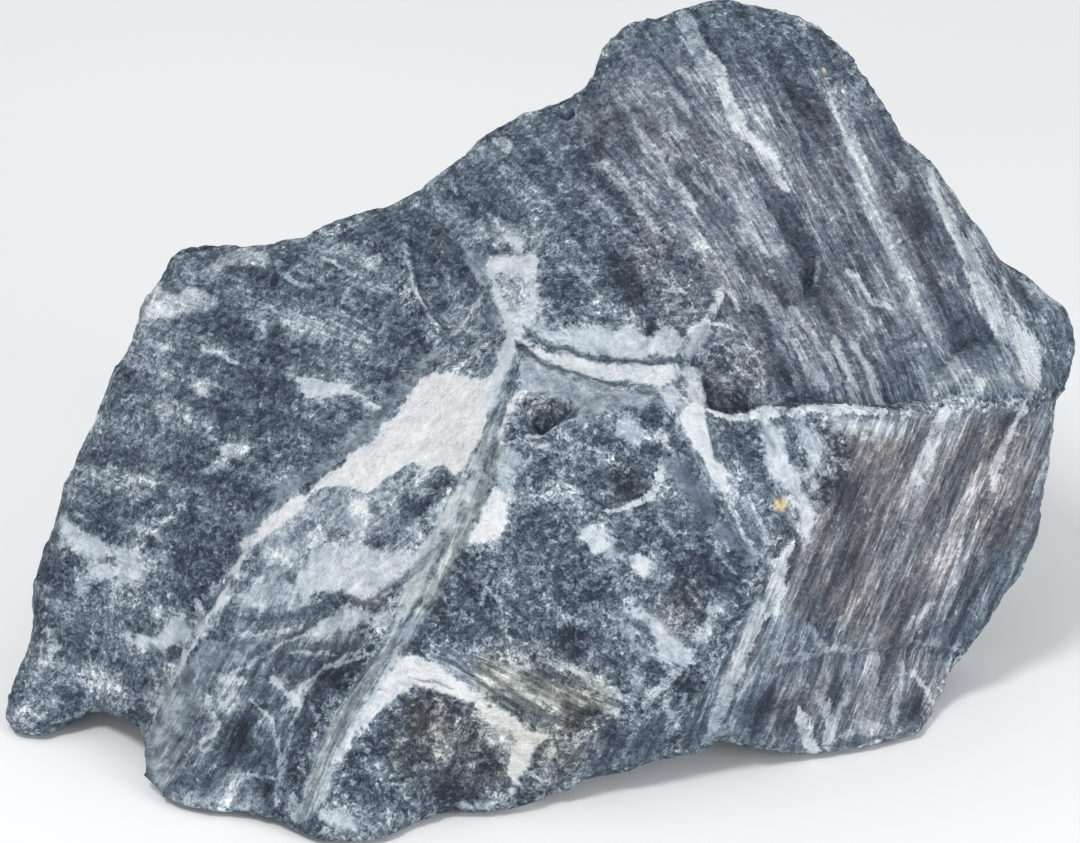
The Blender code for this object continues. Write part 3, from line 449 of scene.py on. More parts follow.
# Quartz bodies: whiteness, then the corners of the outline
BODIES = (
    (1, (-20.4, 9.5), (-22.6, 9), (-24.6, 7.4), (-26.4, 5), (-29, 1.5), (-31, -.5), (-32.5, -2),
     (-34, -4.6), (-36, -5.6), (-38.6, -6.6), (-40, -9), (-43, -10.2), (-44.6, -12), (-46.6, -14),
     (-50, -15.4), (-52, -17.4), (-54.2, -18.6), (-56.2, -20.6), (-58.4, -25), (-56, -24), (-52, -20.8),
     (-49, -18), (-46, -16.4), (-44, -14), (-41, -13), (-38, -12.6), (-36.4, -14.4), (-34.4, -15),
     (-32, -14), (-30, -11.2), (-28, -9.8), (-25, -8.6), (-22, -10), (-19.5, -9.3), (-17, -10.6),
     (-14.6, -9), (-12.6, -4), (-11, 0), (-9.6, 4), (-8, 8), (-10.4, 9.4), (-12, 8.6), (-14, 7.8),
     (-16, 8.6), (-18.2, 9.4)),
    (.8, (-45, -24.6), (-40, -25.4), (-35, -25), (-30, -26), (-26, -26.4), (-23.4, -26.4), (-24, -28.2),
     (-27, -30), (-30, -32), (-33, -34.4), (-36, -35.4), (-39, -34), (-43, -34.4), (-47, -36), (-50, -34),
     (-48, -30), (-47, -27)),
    (.66, (-61, -38), (-60.6, -35.8), (-58, -33.6), (-55, -32.2), (-51, -31.4), (-48, -33), (-49, -36.4),
     (-54, -37.4), (-58, -37.6), (-60, -39.6)),
    (.76, (-46.6, -43), (-44.6, -40.6), (-41, -38.4), (-36, -38), (-30.6, -37.6), (-29.6, -39.4),
     (-33, -40.8), (-38, -41.2), (-42, -42.6)),
    (1, (-8.4, -13), (-7.2, -16), (-6.6, -20), (-8, -23.6), (-11.5, -24.6), (-15, -25.4), (-13.4, -22),
     (-11.4, -17.4), (-9.8, -13.6)),
    (.72, (-7, -4.6), (-4.6, -4.8), (-3.8, -7.4), (-5.6, -12), (-6.2, -17), (-8.4, -14), (-9.2, -11)),
    # The vein along the foot
    (.95, (-28.8, -47.4), (-25.4, -47), (-21.5, -48.3), (-18.2, -50.6), (-15.9, -52.8), (-13.1, -55.2),
     (-8.6, -57.8), (-4.2, -60), (-.8, -61.8), (1.4, -63.4), (.6, -64.7), (-1.1, -66.6), (-1.9, -69.4),
     (-3.3, -72.2), (-5.3, -75.6), (-7, -76.4), (-5.7, -73.4), (-6.1, -70), (-5.4, -66.6), (-4.2, -64.4),
     (-5.3, -62.6), (-9.5, -60.9), (-12.3, -59), (-13.7, -56.9), (-17.6, -54.8), (-21.5, -53.6),
     (-25.3, -53.2), (-28.5, -54.8), (-31.6, -57.6), (-34, -60.6), (-36, -63), (-35.4, -59.4),
     (-32, -53.2)),
    # Smooth grey rock: below the bands over the hollow, beside the big vein, and on the left rim of the flank
    (.52, (-4.2, 13), (0, 12), (8, 8.2), (17.6, 6.8), (23.2, 5.8), (24, 3.4), (17.6, 3.2), (10.4, .4),
     (6.6, 1), (6.4, 4), (0, 5.6), (-4.2, 6)),
    (.14, (24.9, -5.4), (30.3, -8.8), (32.4, -13.6), (37.8, -20.4), (43.2, -28.2), (41.2, -28.9),
     (36.4, -24.4), (31.7, -19), (27.4, -12.9), (24.9, -8.2)),
    (.33, (-68, -43.8), (-62.8, -45.2), (-58.2, -43.6), (-53, -43.1), (-59.2, -48.6), (-64.4, -50.4),
     (-67.5, -54), (-68.4, -59.2), (-70.4, -64), (-72, -69), (-73.6, -73), (-76, -74), (-78.4, -71.2),
     (-79.5, -66.5), (-77.9, -60.2), (-75.8, -56.1), (-72.2, -49.8), (-69.1, -45.2)),
    # The left face and its foot
    (.86, (-50.4, 10.6), (-48.4, 9.4), (-46, 8.6), (-42, 8), (-39, 6.8), (-36, 5.6), (-34.2, 4), (-31, 2.8),
     (-31.6, 1.8), (-34.6, 3.2), (-37, 4.9), (-41, 5), (-46, 4.8), (-48.2, 6.8)),
    (.8, (-95.6, -20), (-93, -21), (-91, -22.6), (-88, -24), (-86, -25), (-83, -25.2), (-81.4, -27),
     (-79.4, -28.4), (-77.4, -29), (-79, -31), (-80, -32.6), (-83, -32.4), (-87, -31.8), (-90, -32),
     (-90.6, -30.4), (-88.4, -28.8), (-84.6, -28.6), (-87, -27.2), (-91, -26.4), (-95, -25.6)),
    (.66, (-93.4, -31.4), (-91.6, -30), (-90.4, -31.4), (-90, -33.8), (-91.6, -34.8), (-93, -33.6)),
    (.76, (-82.8, -43.6), (-80, -42.8), (-77, -42.8), (-75.4, -41), (-72, -39.6), (-70.4, -42), (-72, -44.8),
     (-75, -46), (-77, -45.2), (-80, -45.6)),
    # The two bands over the hollow
    (.76, (-2.8, 19.6), (-1, 20.4), (1, 19.4), (4, 17.8), (7, 17), (8.6, 18.2), (11, 19), (13, 18.4),
     (15.6, 17.9), (18, 18.8), (20, 18), (20.8, 16.6), (22.6, 16.2), (23.6, 18), (24.6, 19.6), (27, 18.8),
     (29.4, 16.2), (28.6, 13.4), (26, 13), (22, 12.6), (16, 12.8), (11, 13.2), (7, 14.2), (3, 15.4),
     (.6, 16.4), (-1.4, 18.2)),
    (.93, (-4.4, 17.8), (-2.6, 16.4), (0, 14.6), (3, 13.5), (7, 12.8), (11, 12), (15, 11.5), (20, 11),
     (24, 11), (27.4, 11.6), (28.4, 10), (27.4, 8), (24.4, 6), (21, 7.3), (17, 7.9), (13, 8.4), (9, 9.2),
     (5, 10.5), (1.6, 11.8), (-1.2, 13.6), (-3, 15.4)),
)

# Patches: how much lighter, how soft their edge is, then the corners of the outline
PATCHES = (
    (.38, .6, (-77, 27.4), (-78, 24), (-79.6, 20), (-75, 20.6), (-70, 21.4), (-66, 22), (-64, 23.4),
     (-67, 25.8), (-70, 26.6), (-73, 25.4)),
    (.4, .6, (-71, 29), (-67, 29.6), (-63, 30.4), (-60, 31.4), (-55, 30.4), (-54, 33.8), (-60, 34.4),
     (-63.4, 32.8), (-66, 30.8)),
    (.42, .5, (-69.4, 8), (-67, 8.4), (-66, 5), (-68, 4.6), (-70, 6.4)),
    (.26, .8, (-36, 33), (-32, 32.4), (-31.6, 29.6), (-34.6, 30.4)),
    (.12, 3, (-74, 8), (-66, 8), (-66, 2), (-74, -6), (-76, 0)),
    (.34, .5, (-64, -4.8), (-58.6, -4.4), (-58, -5.8), (-60, -7.2), (-62, -7.6), (-63, -9.6), (-66, -11.2),
     (-69, -10.6), (-66, -8.6), (-64, -7)),
    (.2, .7, (-84, -11), (-78, -10.2), (-72, -11), (-73, -13), (-83, -12.8)),
    (.26, 1, (-84, -21), (-77, -20.4), (-73, -19), (-73, -20.4), (-78, -22), (-84, -22.4)),
    (.14, 2, (-95, -36), (-99.4, -35.6), (-99.4, -41), (-95, -43), (-94.4, -38)),
    (.22, 2.4, (-93, -50), (-84, -48), (-82.6, -58), (-88, -60), (-92, -57)),
    (.3, 5, (-101, -46), (-96, -50), (-98, -61), (-108, -62)),
    (.2, 2, (-90, -4), (-84, 10), (-80, 20), (-77, 28), (-79, 28), (-84, 14), (-92, -4)),
    (.3, 1, (-78.6, -37), (-76, -37.6), (-75.4, -39.4), (-77.6, -39.6)),
    (.34, 2.4, (-57, -24), (-50, -16), (-40, -13), (-36, -16), (-34, -21), (-38, -25), (-46, -27),
     (-54, -30)),
    (.22, 2.4, (-38, -14), (-30, -12), (-22, -12), (-20, -20), (-22, -24), (-36, -24)),
    (.3, 2.4, (-50, -25), (-55, -27), (-61, -35), (-55, -35), (-47, -30)),
    (.12, 2.4, (-48, -41), (-40, -42), (-31, -41), (-29, -44), (-40, -45), (-47, -45)),
    (.1, 2, (-19, 14), (-11, 15), (-10, 9), (-18, 8)),
    (.06, 3, (2, -1), (8, 1), (20, 1), (24, -3), (18, -6), (8, -6), (3, -4)),
    (.34, 3, (82, 8), (84, 14), (95, 15), (99, 8), (90, 6)),
    (.05, 6, (10, 68), (56, 78), (70, 56), (30, 30), (0, 30), (-10, 44), (0, 60)),
    (.3, 1.2, (-11, -61.4), (-8, -62), (-5.4, -63), (-5.6, -67), (-7, -69), (-8, -66), (-10, -64)),
    (-.16, 1.5, (-64.4, -59.2), (-60.2, -58.2), (-56.1, -59.2), (-54, -63.4), (-53, -67.5), (-57.1, -70.6),
     (-62.3, -70.1), (-65.4, -66.5), (-64.9, -62.3)),
    (.1, 5, (50, -48), (88, -47), (78, -64), (50, -66)),
    (.06, 5, (62, 0), (100, 2), (100, -30), (74, -44), (50, -44)),
    (.13, 4, (-20, -56), (20, -62), (20, -52), (-8, -48)),
    (.07, 3, (8, -64), (20, -58), (28, -58), (30, -66), (14, -70)),
    (.02, .8, (-25.6, 38), (-24, 30), (-22.6, 24), (-19, 18.6), (-16.6, 21), (-16, 27), (-16.6, 33),
     (-20, 38)),
    # Painted shadow: darker ground to the right of the crest, above the ledge
    (-.06, 2, (32, 5), (41, 5), (42, 16), (33, 17)),
    (-.04, 2, (36, -4), (42, -4), (48, -20), (40, -20)),
)

# Haze: lighter or darker patches with no edge: amount, radius, then corners with their own radius. A few
# dark ones are painted shade in a pocket, holes and a recess
HAZES = (
    (.14, 2.4, (-29, -46), (-35, -55), (-41, -65), (-46, -77)),
    (.32, 2.7, (62, 55), (64.6, 48), (67, 42), (70, 35), (73, 28), (76.4, 20), (79, 12), (82, 8)),
    (.24, 3.6, (-56, 19.6)),
    (.2, 3, (-49, 18)),
    (.12, 1.6, (-76, 15), (-75, 8), (-75.5, -3)),
    (-.16, 7, (-60, -20)),
    (-.12, 6, (-70, -30)),
    (-.14, 5, (-86, -20)),
    (-.12, 5, (-100, -55), (-96, -58)),
    (-.3, 1.6, (-28, -15.4), (-24, -16), (-20, -16)),
    (-.2, 2, (-27, -18), (-21.6, -18.4)),
    (-.24, 1.6, (-19, -12)),
    (-.24, 1.6, (-43, -23), (-39, -23)),
    (.3, 1.6, (-37, -17), (-34.6, -18)),
    (-.22, 3.4, (-44, -51), (-34, -51.5), (-31, -54)),
    (-.24, 4, (-60, -63), (-58, -68)),
    (-.3, 3, (-55.4, -73)),
    (-.25, 2, (-67, -72)),
    (-.2, 2, (-49.2, -71)),
    (.22, 3, (-63, -53), (-61, -58)),
    (.2, 2.4, (-53, -52), (-50, -55)),
    (.22, 2, (-74, -75.6), (-65, -76), (-56, -77)),
    (.1, 5, (-75, -57), (-76, -68)),
    (.25, 2.2, (-12, 39), (-4, 38), (0, 36)),
    (-.12, 4, (3, 27), (3, 21.6, 2.4)),
    (-.14, 6, (16, 29), (20, 26)),
    (.2, 1.8, (11, 24), (15, 22.5), (20, 21.5), (27, 21)),
    (-.35, 1.6, (22, 17.6)),
    (-.25, 3, (12, 55.4)),
    # Painted shade: the next two darken the pocket just above the ledge's lip
    (-.1, 2, (33.6, 8), (34.6, 5), (37, 3.4), (41, 3)),
    (-.16, 1, (35, 4), (38, 3), (42, 3.4)),
    # Painted shade: the next three darken the holes and the recess below the bands over the hollow
    (-.1, 1.9, (-3, 2.4), (-1, 1.6)),
    (-.45, .8, (0, -1.2), (.2, -2.2)),
    (-.2, 1, (-7, -3.2), (-5, -2.6)),
    (.3, .8, (-5, 5), (-2.6, 5), (-.6, 4.4), (1.2, 2.8)),
    (.14, 1.6, (-6.4, 26), (-4.6, 23), (-4.2, 21)),
    (-.25, 2.4, (0, -9), (1, -11)),
    (-.2, 3, (-14, -27.5)),
    (-.16, 5, (-12, -32), (-8, -40)),
    (-.3, 3.4, (6, -43), (8, -46)),
    (-.16, 3, (17, -52)),
    (-.2, 3, (16, -9), (17, -14)),
    (-.18, 3, (22, 0)),
    (-.14, 1.6, (27, -3), (30, -8), (34, -15), (38, -22), (41, -27)),
    (-.2, 4, (33, -24), (37, -32), (28, -34)),
    (.14, 3, (45, -27)),
    (.2, 2.4, (58, 0), (64, -2), (69, -2)),
    (-.3, 1.8, (61, -6.4)),
    (-.22, 3, (60, -12), (57, -15)),
    (-.2, 3, (30, -52), (28, -55)),
    (-.2, 4, (42, -60), (45, -56)),
    (-.1, 3, (62, -53), (61, -57)),
    (-.14, 3, (73, -55), (76, -59)),
    (-.1, 5, (15, -64), (24, -62)),
    (-.16, 5, (-10, -70), (-18, -74)),
    (-.2, 2.4, (-13, -75)),
    (-.14, 5, (-26, -58), (-24, -66)),
    (.2, 1.8, (-20.6, -62)),
    (.16, 1.8, (-33.8, -60)),
    (.2, 2, (-8, -63), (-4, -66)),
    (-.12, 4, (89, 12), (94, 12)),
    (.12, 2, (-22, 47.6)),
    (-.22, 1.6, (-3, -51.2), (2, -51.6), (6, -53)),
    (-.22, 1.8, (-9, -54.6), (-5, -56)),
    (-.2, 2, (6, -59), (12, -58.4)),
    (-.2, 2.4, (-17, -58.4), (-13, -63)),
    (.22, 1.6, (-28.2, -64.2)),
    (.14, 2, (-34, -68), (-30, -70)),
)

# Stains: which stain, amount, radius, then corners
STAIN_KINDS = ("olive", "brown", "tan")
STAINS = (
    ("olive", .8, 2, (-8, -5, 1.2), (-9.8, -10), (-12.6, -16), (-14.8, -21), (-18, -27), (-21, -33),
     (-24, -38)),
    ("olive", .4, 2.4, (-10, 0), (-14, -10), (-19, -20), (-23, -29), (-27, -37)),
    ("olive", .5, 2.2, (-28, -45), (-32, -50), (-39.3, -59), (-41.9, -64.3), (-44.5, -71), (-47, -79)),
    ("olive", .4, 2, (-22, 12), (-26, 8)),
    ("olive", .3, 4, (-38, -66.5)),
    ("olive", .35, 3, (-28, -68.5)),
    ("olive", .4, 3, (-20, 35)),
    ("olive", .3, 2.4, (-70.6, -43.4)),
    ("olive", .25, 5, (3, 9), (14, 5)),
    ("olive", .5, 2, (12, -54.6)),
    ("olive", .4, 1.6, (2, -67)),
    ("olive", .35, 8, (-72, -54), (-75, -68)),
    ("olive", .3, 8, (-52, -44), (-38, -46)),
    ("brown", .6, 4, (-24, -57), (-22, -60)),
    ("brown", .3, 10, (-24, -64), (6, -66)),
    ("olive", .65, 9, (-26, -64), (4, -67)),
    ("brown", .3, 6, (-10, -50), (10, -56)),
    ("olive", .95, 6, (-10, -51), (12, -57)),
    ("brown", .35, 2.4, (-2, 2), (3, 2.4)),
    ("brown", .35, 3, (36, 3), (39, 2.4)),
    ("brown", .35, 3, (16, -14), (19, -11)),
    ("brown", .3, 4, (10, -58), (6, -60)),
    ("brown", .72, 8, (66, -6), (60, -22), (54, -36)),
    ("brown", .78, 9, (80, -4), (78, -28), (66, -40)),
    ("brown", .8, 7, (94, -2), (92, -22)),
    ("brown", .26, 16, (16, 56), (50, 56), (76, 34), (60, 20), (24, 36)),
    ("brown", .3, 5, (36, 10), (44, 12)),
    ("brown", .3, 2, (64, -7), (60, -16), (55, -28)),
    ("brown", .3, 2, (90, 0), (86, -12)),
    ("brown", .36, 9, (50, -56), (78, -56)),
    ("brown", .35, 5, (-40, -30), (-30, -28)),
    ("brown", .4, 4, (30, -35), (26, -42)),
    ("brown", .4, 2, (30, 8), (31, 5)),
    ("brown", .5, 2, (43, -42), (39, -52)),
    ("brown", .5, 1.6, (-37, -36.4), (-32, -35.4)),
    ("tan", .8, 1.8, (47.8, -16.2), (48.4, -17.6)),
    ("tan", .5, .6, (87.5, -11.5)),
    ("tan", .4, .5, (81, -24.5)),
    ("tan", .5, 1, (57, -43)),
    ("tan", .7, .8, (56.6, 70)),
    ("tan", .35, 2, (57, 69)),
    ("tan", .5, 1, (97, 7)),
)

# Where the grain is streaked along the leaves: share of streak, radius, corners. Far from these the share
# is the usual one, which weighs little beside a stroke
USUAL_STREAK = 0.5
USUAL_WEIGHT = 0.15
STREAKS = (
    (1.8, 9, (90, 0), (84, -14), (77, -26), (68, -40)),
    (1.8, 9, (70, -6), (60, -26), (54, -38), (60, -52)),
    (1.8, 7, (98, -4), (92, -26)),
    (1.2, 7, (42, -40), (36, -56)),
    (1.1, 6, (60, -54), (78, -56)),
    (.95, 10, (50, 50), (72, 40), (88, 24)),
    (.85, 12, (28, 60), (46, 36), (60, 16)),
    (.9, 4, (30, -8), (36, -18), (41, -26)),
    (1.0, 4, (-7, 8), (-11, -5), (-16, -17), (-24, -36), (-34, -54), (-45, -74)),
    (.1, 11, (8, -14), (10, -32), (22, -24)),
    (.1, 9, (-8, -38), (8, -44), (26, -40)),
    (.1, 8, (18, -4), (6, -6)),
    (1, 6, (-12, -49), (8, -54), (20, -60)),
    (.3, 9, (56, -8), (46, -8)),
    (.15, 9, (-28, -64), (-14, -68)),
    (.3, 10, (10, 30), (22, 26)),
    (.2, 6, (36, 10)),
    (.3, 12, (-80, -44), (-96, -54)),
    (.35, 12, (-60, -20), (-80, -30)),
    (.9, 9, (-56, -40), (-36, -38)),
    (.8, 10, (-70, -62), (-56, -60)),
)

# Which way the grain runs: the outline of a region, then the line that its grain follows
REGIONS = (
    (((-5, 17), (-12, 13), (-20, 11), (-31, 1), (-37, -5), (-44, -11.5), (-56, -19), (-60, -26), (-67, -39),
     (-73, -50), (-79, -62), (-84, -76), (-48, -86), (-40, -66), (-34, -56), (-28, -46), (-22, -38),
     (-16, -27), (-12, -18), (-11, -8), (-9, 2)), ((-14, 16), (-22, 11), (-30, 1), (-37, -6), (-48, -14),
     (-57, -22), (-64, -35), (-72, -50), (-80, -64))),
    (((-110, -70), (-110, 40), (-50, 44), (-30, 32), (-24, 18), (-20, 11), (-31, 1), (-37, -5), (-44, -11.5),
      (-56, -19), (-60, -26), (-67, -39), (-73, -50), (-79, -62)),
     ((-100, 20), (-4, -20))),
    (((57, 2), (104, 4), (112, -20), (90, -72), (24, -72), (30, -56), (38, -42), (45, -31), (52, -22),
     (60, -10)), ((45, -60), (95, 62))),
    (((24, 3), (57, 2), (60, -10), (52, -22), (44, -30), (39, -27), (31, -13), (26, -5)),
     ((28, 2), (33, -8), (38, -18), (44, -30))),
    (((-5, 4), (24, 3), (26, -5), (31, -13), (44, -30), (38, -42), (28, -54), (20, -57), (8, -49), (-26, -42),
      (-16, -27), (-11, -18), (-7, -5)),
     ((-10, -10), (30, -30))),
    (((-26, -42), (8, -49), (24, -57), (20, -60), (4, -63), (-10, -60), (-30, -52)),
     ((-24, -46), (-8, -53), (6, -60), (22, -66))),
    (((4, -62), (24, -57), (38, -42), (24, -72), (0, -80), (-2, -68)),
     ((0, -80), (24, -36))),
)

# The crest of the nose, whose grain runs along it, how far to its sides that holds, and how far up
NOSE = ((-5.6, 17), (-7, 8), (-9, 1), (-11, -6), (-13.4, -13), (-17, -21), (-20.6, -29), (-24, -37),
        (-29, -46.5), (-35, -55), (-41, -65), (-46, -78))
NOSE_REACH = 5.2
NOSE_TOP = 15.0

# How the grain of the upper slope leans, along the stone's length
UPPER_PLACES = (-110.0, -30.0, 0.0, 20.0, 45.0, 80.0, 110.0)
UPPER_SLOPES = (0.7, 0.85, 0.95, 1.15, 1.75, 2.1, 2.2)

# Steps in the surface: depth, fade, corners. The ground to the right of the line lies lower, and comes
# back up over the fade
STEPS = (
    (2.0, 5, (78, 4.6), (72, 3.4), (64, 3.2), (58, 3.4), (50, 3.7), (44, 3.4), (40, 2.2), (36, 2.8),
     (33.4, 4.6), (32.6, 8), (32.8, 12)),
    (1.5, 5, (30, 12), (30.8, 15.4), (32.6, 18.6), (35, 21.6), (36.4, 25)),
    (1.6, 7, (-43, -76), (-39.4, -66.4), (-36, -60.4), (-32, -54), (-28.6, -52), (-24, -52.6), (-19, -55),
     (-14.6, -57.6), (-11.6, -61), (-6, -62.6), (-3.4, -65), (-5.4, -72)),
    (1.3, 5, (24, -6), (22, -8), (20, -11), (19, -15), (17, -16.6), (13.5, -17.8), (8, -13), (1, -9)),
    (1.0, 3, (-4.8, 2.4), (-3.6, 4), (-1.4, 4), (1, 3), (2, 4.8), (4.6, 5), (6.6, 3.4), (6.8, 1), (4, -.4),
     (2, -2), (.4, -2.8), (-1, -1.4), (-2.6, .6), (-4.8, 2.4)),
    (1.1, 6, (-19.6, 17.6), (-22.5, 22), (-24.5, 25), (-25, 30), (-26, 35)),
    (.9, 4, (-15, 34), (-13, 30), (-12.4, 26), (-14, 22), (-18, 17.4)),
    (.7, 3, (-18, 16.4), (-24.8, 11.2), (-30.4, 2), (-36, -3.6), (-48, -13.2), (-56, -18.4), (-60, -27),
     (-66.4, -38.4), (-72, -50), (-77.4, -59.4)),
    (.8, 3.5, (-59.8, -39), (-52, -37.8), (-44, -37.4), (-39.3, -34.8), (-30, -32.4), (-22, -26)),
    (.8, 3, (50, -46.8), (58, -46.6), (66, -46), (76, -44.8), (86, -46.4)),
    (1.3, 4, (97, 9), (95, 14), (89, 16), (84, 14), (80, 9.5), (79, 5)),
    (.6, 3, (27, 12.3), (20, 11.6), (12, 12.8), (5, 14.2), (-1, 17)),
    (.7, 4, (14, 7.4), (8, 9.4), (0, 12.4), (-4, 16)),
    (.8, 4, (-4, -63.6), (1, -64.4), (.4, -66), (-2, -69), (-3.4, -73)),
    (.9, 4, (-5, 10), (-7.4, -2), (-9.6, -12), (-15, -24), (-21.6, -37)),
)

# Pits and rises: height, radius, corners
PITS = (
    (-2.6, .9, (4, 61.8), (6.2, 61.5)),
    (-1.5, .9, (53.5, 25), (54.4, 31)),
    (-1.2, 1.2, (34, 4), (38, 2.8), (41, 3)),
    (-.8, 1.2, (-61.5, -27)),
    (-.8, .9, (-24.4, 45.6), (-22.6, 45)),
    (-1.6, 1.0, (0, -1.8)),
    (.7, 1.4, (36.4, 25), (34, 21), (31.4, 17.6), (29.4, 13)),
    (.5, 1.2, (-6, 12), (-8.6, 1), (-12.4, -10), (-17, -21), (-23, -35)),
    (.5, 1.1, (36, .8), (44, 1.8), (52, 2), (58, 1.6)),
    (.6, 1.3, (-28, -49), (-20, -51), (-14, -55), (-8, -59.4), (0, -63)),
    (.4, 1.6, (88, 7)),
    (-.7, .7, (47, -49.5)),
)


def smooth(low, high, value):
    """From 0 at low to 1 at high, eased at both ends."""
    t = np.clip((value - low) / (high - low), 0.0, 1.0)
    return t * t * (3.0 - 2.0 * t)


def rounded(path):
    """The path with each corner cut once, its ends kept."""
    if len(path) < 3:
        return path
    cut = [path[0]]
    for before, after in zip(path, path[1:]):
        cut += [before * 0.75 + after * 0.25, before * 0.25 + after * 0.75]
    return cut[:1] + cut[2:-1] + [path[-1]]


def corners(width, points, rounds=1):
    """The points as a path of (across, up, half width), its corners cut."""
    path = [np.array((p[0], p[1], p[2] if len(p) > 2 else width), float) for p in points]
    for _ in range(rounds):
        path = rounded(path)
    return path


def sharp_path(radius, points):
    """The points as a path with its corners kept; a single point becomes a very short path."""
    points = points if len(points) > 1 else points * 2
    path = corners(radius, points, 0)
    path[-1] = path[-1] + np.array((0.01, 0.0, 0.0))
    return path


class Seen:
    """The vertices as the viewer sees them: across and up in millimetres, how near, how squarely they face
    the viewer, and 1 where they are shown, fading to nought behind the outline."""

    def __init__(self, place, normal):
        offset = place - CENTRE
        near = offset @ NEAR
        spread = EYE / (EYE - near)
        self.across = offset @ RIGHT * spread
        self.up = offset @ UP * spread
        self.near = near
        self.facing = normal @ NEAR
        self.shown = smooth(-0.15, 0.12, self.facing)

    def around(self, path, reach):
        """The vertices within reach of the path's box."""
        points = np.array(path)
        low, high = points[:, :2].min(0) - reach, points[:, :2].max(0) + reach
        level = (self.up > low[1]) & (self.up < high[1])
        return np.nonzero(level & (self.across > low[0]) & (self.across < high[0]))[0]

    def beside(self, path, chosen):
        """For each chosen vertex its distance to the path; the same with a sign, above nought to the right
        of it; the path's half width there; and how far along it that is. Past an end the signed distance
        stays that from the end's own line, and the width runs out."""
        a, v = self.across[chosen], self.up[chosen]
        nearest = np.full(len(a), 1e9)
        side, width, run_so_far = np.zeros(len(a)), np.zeros(len(a)), np.zeros(len(a))
        last, passed = len(path) - 2, 0.0
        for i, (start, end) in enumerate(zip(path, path[1:])):
            run = end[:2] - start[:2]
            length = max(float(np.hypot(*run)), 1e-6)
            along = ((a - start[0]) * run[0] + (v - start[1]) * run[1]) / length ** 2
            held = np.clip(along, 0.0, 1.0)
            away = np.hypot(a - start[0] - held * run[0], v - start[1] - held * run[1])
            cross = ((a - start[0]) * run[1] - (v - start[1]) * run[0]) / length
            over = np.zeros(len(a))
            if i == 0:
                over += np.maximum(-along, 0.0) * length
            if i == last:
                over += np.maximum(along - 1.0, 0.0) * length
            closer = away < nearest
            nearest = np.where(closer, away, nearest)
            signed = np.where(over > 0, cross, np.where(cross < 0, -away, away))
            side = np.where(closer, signed, side)
            half = start[2] + held * (end[2] - start[2]) - over * END_SLOPE
            width = np.where(closer, half, width)
            here = passed + held * length + np.where(along > 1, over, -over)
            run_so_far = np.where(closer, here, run_so_far)
            passed += length
        return nearest, side, width, run_so_far


def within(path, a, v):
    """Whether points lie inside a closed outline."""
    odd = np.zeros(len(a), bool)
    for start, end in zip(path, path[1:]):
        spans = (start[1] > v) != (end[1] > v)
        rise = (end[1] - start[1]) or 1e-9
        odd ^= spans & (a < (end[0] - start[0]) * (v - start[1]) / rise + start[0])
    return odd


def stroke_layers(seen, strokes, count):
    """Shares the strokes out over layers so that neighbours in one layer don't touch. A layer holds for
    each vertex the signed distance to its stroke, the stroke's half width and its strength."""
    layers = [np.tile(np.array(NO_STROKE, np.float32), (len(seen.up), 1)) for _ in range(count)]
    for strength, width, *points in strokes:
        path = corners(width, points)
        reach = max(p[2] for p in path) + STROKE_REACH
        chosen = seen.around(path, reach + CROWDING_REACH)
        nearest, side, half, _ = seen.beside(path, chosen)
        touched = nearest < reach
        beside = chosen[nearest < reach + CROWDING_REACH]
        crowding = [int((layer[beside, 1] > NO_STROKE[1] + 1.0).sum()) for layer in layers]
        layer = layers[crowding.index(min(crowding))]
        rows = chosen[touched]
        better = half[touched] - np.abs(side[touched]) > layer[rows, 1] - np.abs(layer[rows, 0])
        rows = rows[better]
        fade = STROKE_REACH * smooth(0.05, -0.45, seen.facing[rows])
        layer[rows, 0] = side[touched][better]
        layer[rows, 1] = half[touched][better] - fade
        layer[rows, 2] = strength
    return layers


def inside_by(seen, outline, reach):
    """Vertices near a closed outline, and how far inside it each lies; below nought outside."""
    path = corners(0.0, list(outline) + [outline[0]], 0)
    chosen = seen.around(path, reach)
    nearest = seen.beside(path, chosen)[0]
    return chosen, np.where(within(path, seen.across[chosen], seen.up[chosen]), nearest, -nearest)


def quartz_field(seen):
    """For each vertex how far, in millimetres, it lies inside the nearest quartz, and how white that is."""
    depth = np.full(len(seen.up), -QUARTZ_REACH)
    white = np.zeros(len(seen.up))

    def put(whiteness, chosen, inside):
        rows = inside > depth[chosen]
        depth[chosen[rows]] = inside[rows]
        white[chosen[rows]] = whiteness

    for whiteness, width, *points in QUARTZ:
        path = corners(width, points)
        chosen = seen.around(path, QUARTZ_REACH)
        nearest, _, half, _ = seen.beside(path, chosen)
        put(whiteness, chosen, np.maximum(half, 0.1) - nearest)
    for whiteness, *outline in BODIES:
        put(whiteness, *inside_by(seen, outline, QUARTZ_REACH))
    return depth - 3.0 * smooth(0.0, -0.5, seen.facing), white


def patched(seen):
    """How much lighter the patches make each vertex."""
    total = np.zeros(len(seen.up))
    for lift, soft, *outline in PATCHES:
        chosen, inside = inside_by(seen, outline, soft * 1.5)
        total[chosen] += lift * smooth(-soft, soft, inside)
    return total * seen.shown


def soft_sum(seen, strokes):
    """The sum of soft strokes: amount times a bell curve of the distance over the radius."""
    total = np.zeros(len(seen.up))
    for amount, radius, *points in strokes:
        path = sharp_path(radius, points)
        chosen = seen.around(path, max(p[2] for p in path) * SOFT_REACH)
        nearest, _, half, _ = seen.beside(path, chosen)
        total[chosen] += amount * np.exp(-(nearest / np.maximum(half, radius * 0.3)) ** 2)
    return total * seen.shown


def streak_share(seen):
    """How much of the grain is streaked, from nearby strokes, weighted by closeness."""
    total = np.full(len(seen.up), USUAL_STREAK * USUAL_WEIGHT)
    weight = np.full(len(seen.up), USUAL_WEIGHT)
    for share, radius, *points in STREAKS:
        nearest = seen.beside(sharp_path(radius, points), np.arange(len(seen.up)))[0]
        closeness = np.exp(-(nearest / radius) ** 2) * smooth(-0.2, 0.2, seen.facing)
        total += share * closeness
        weight += closeness
    return total / weight


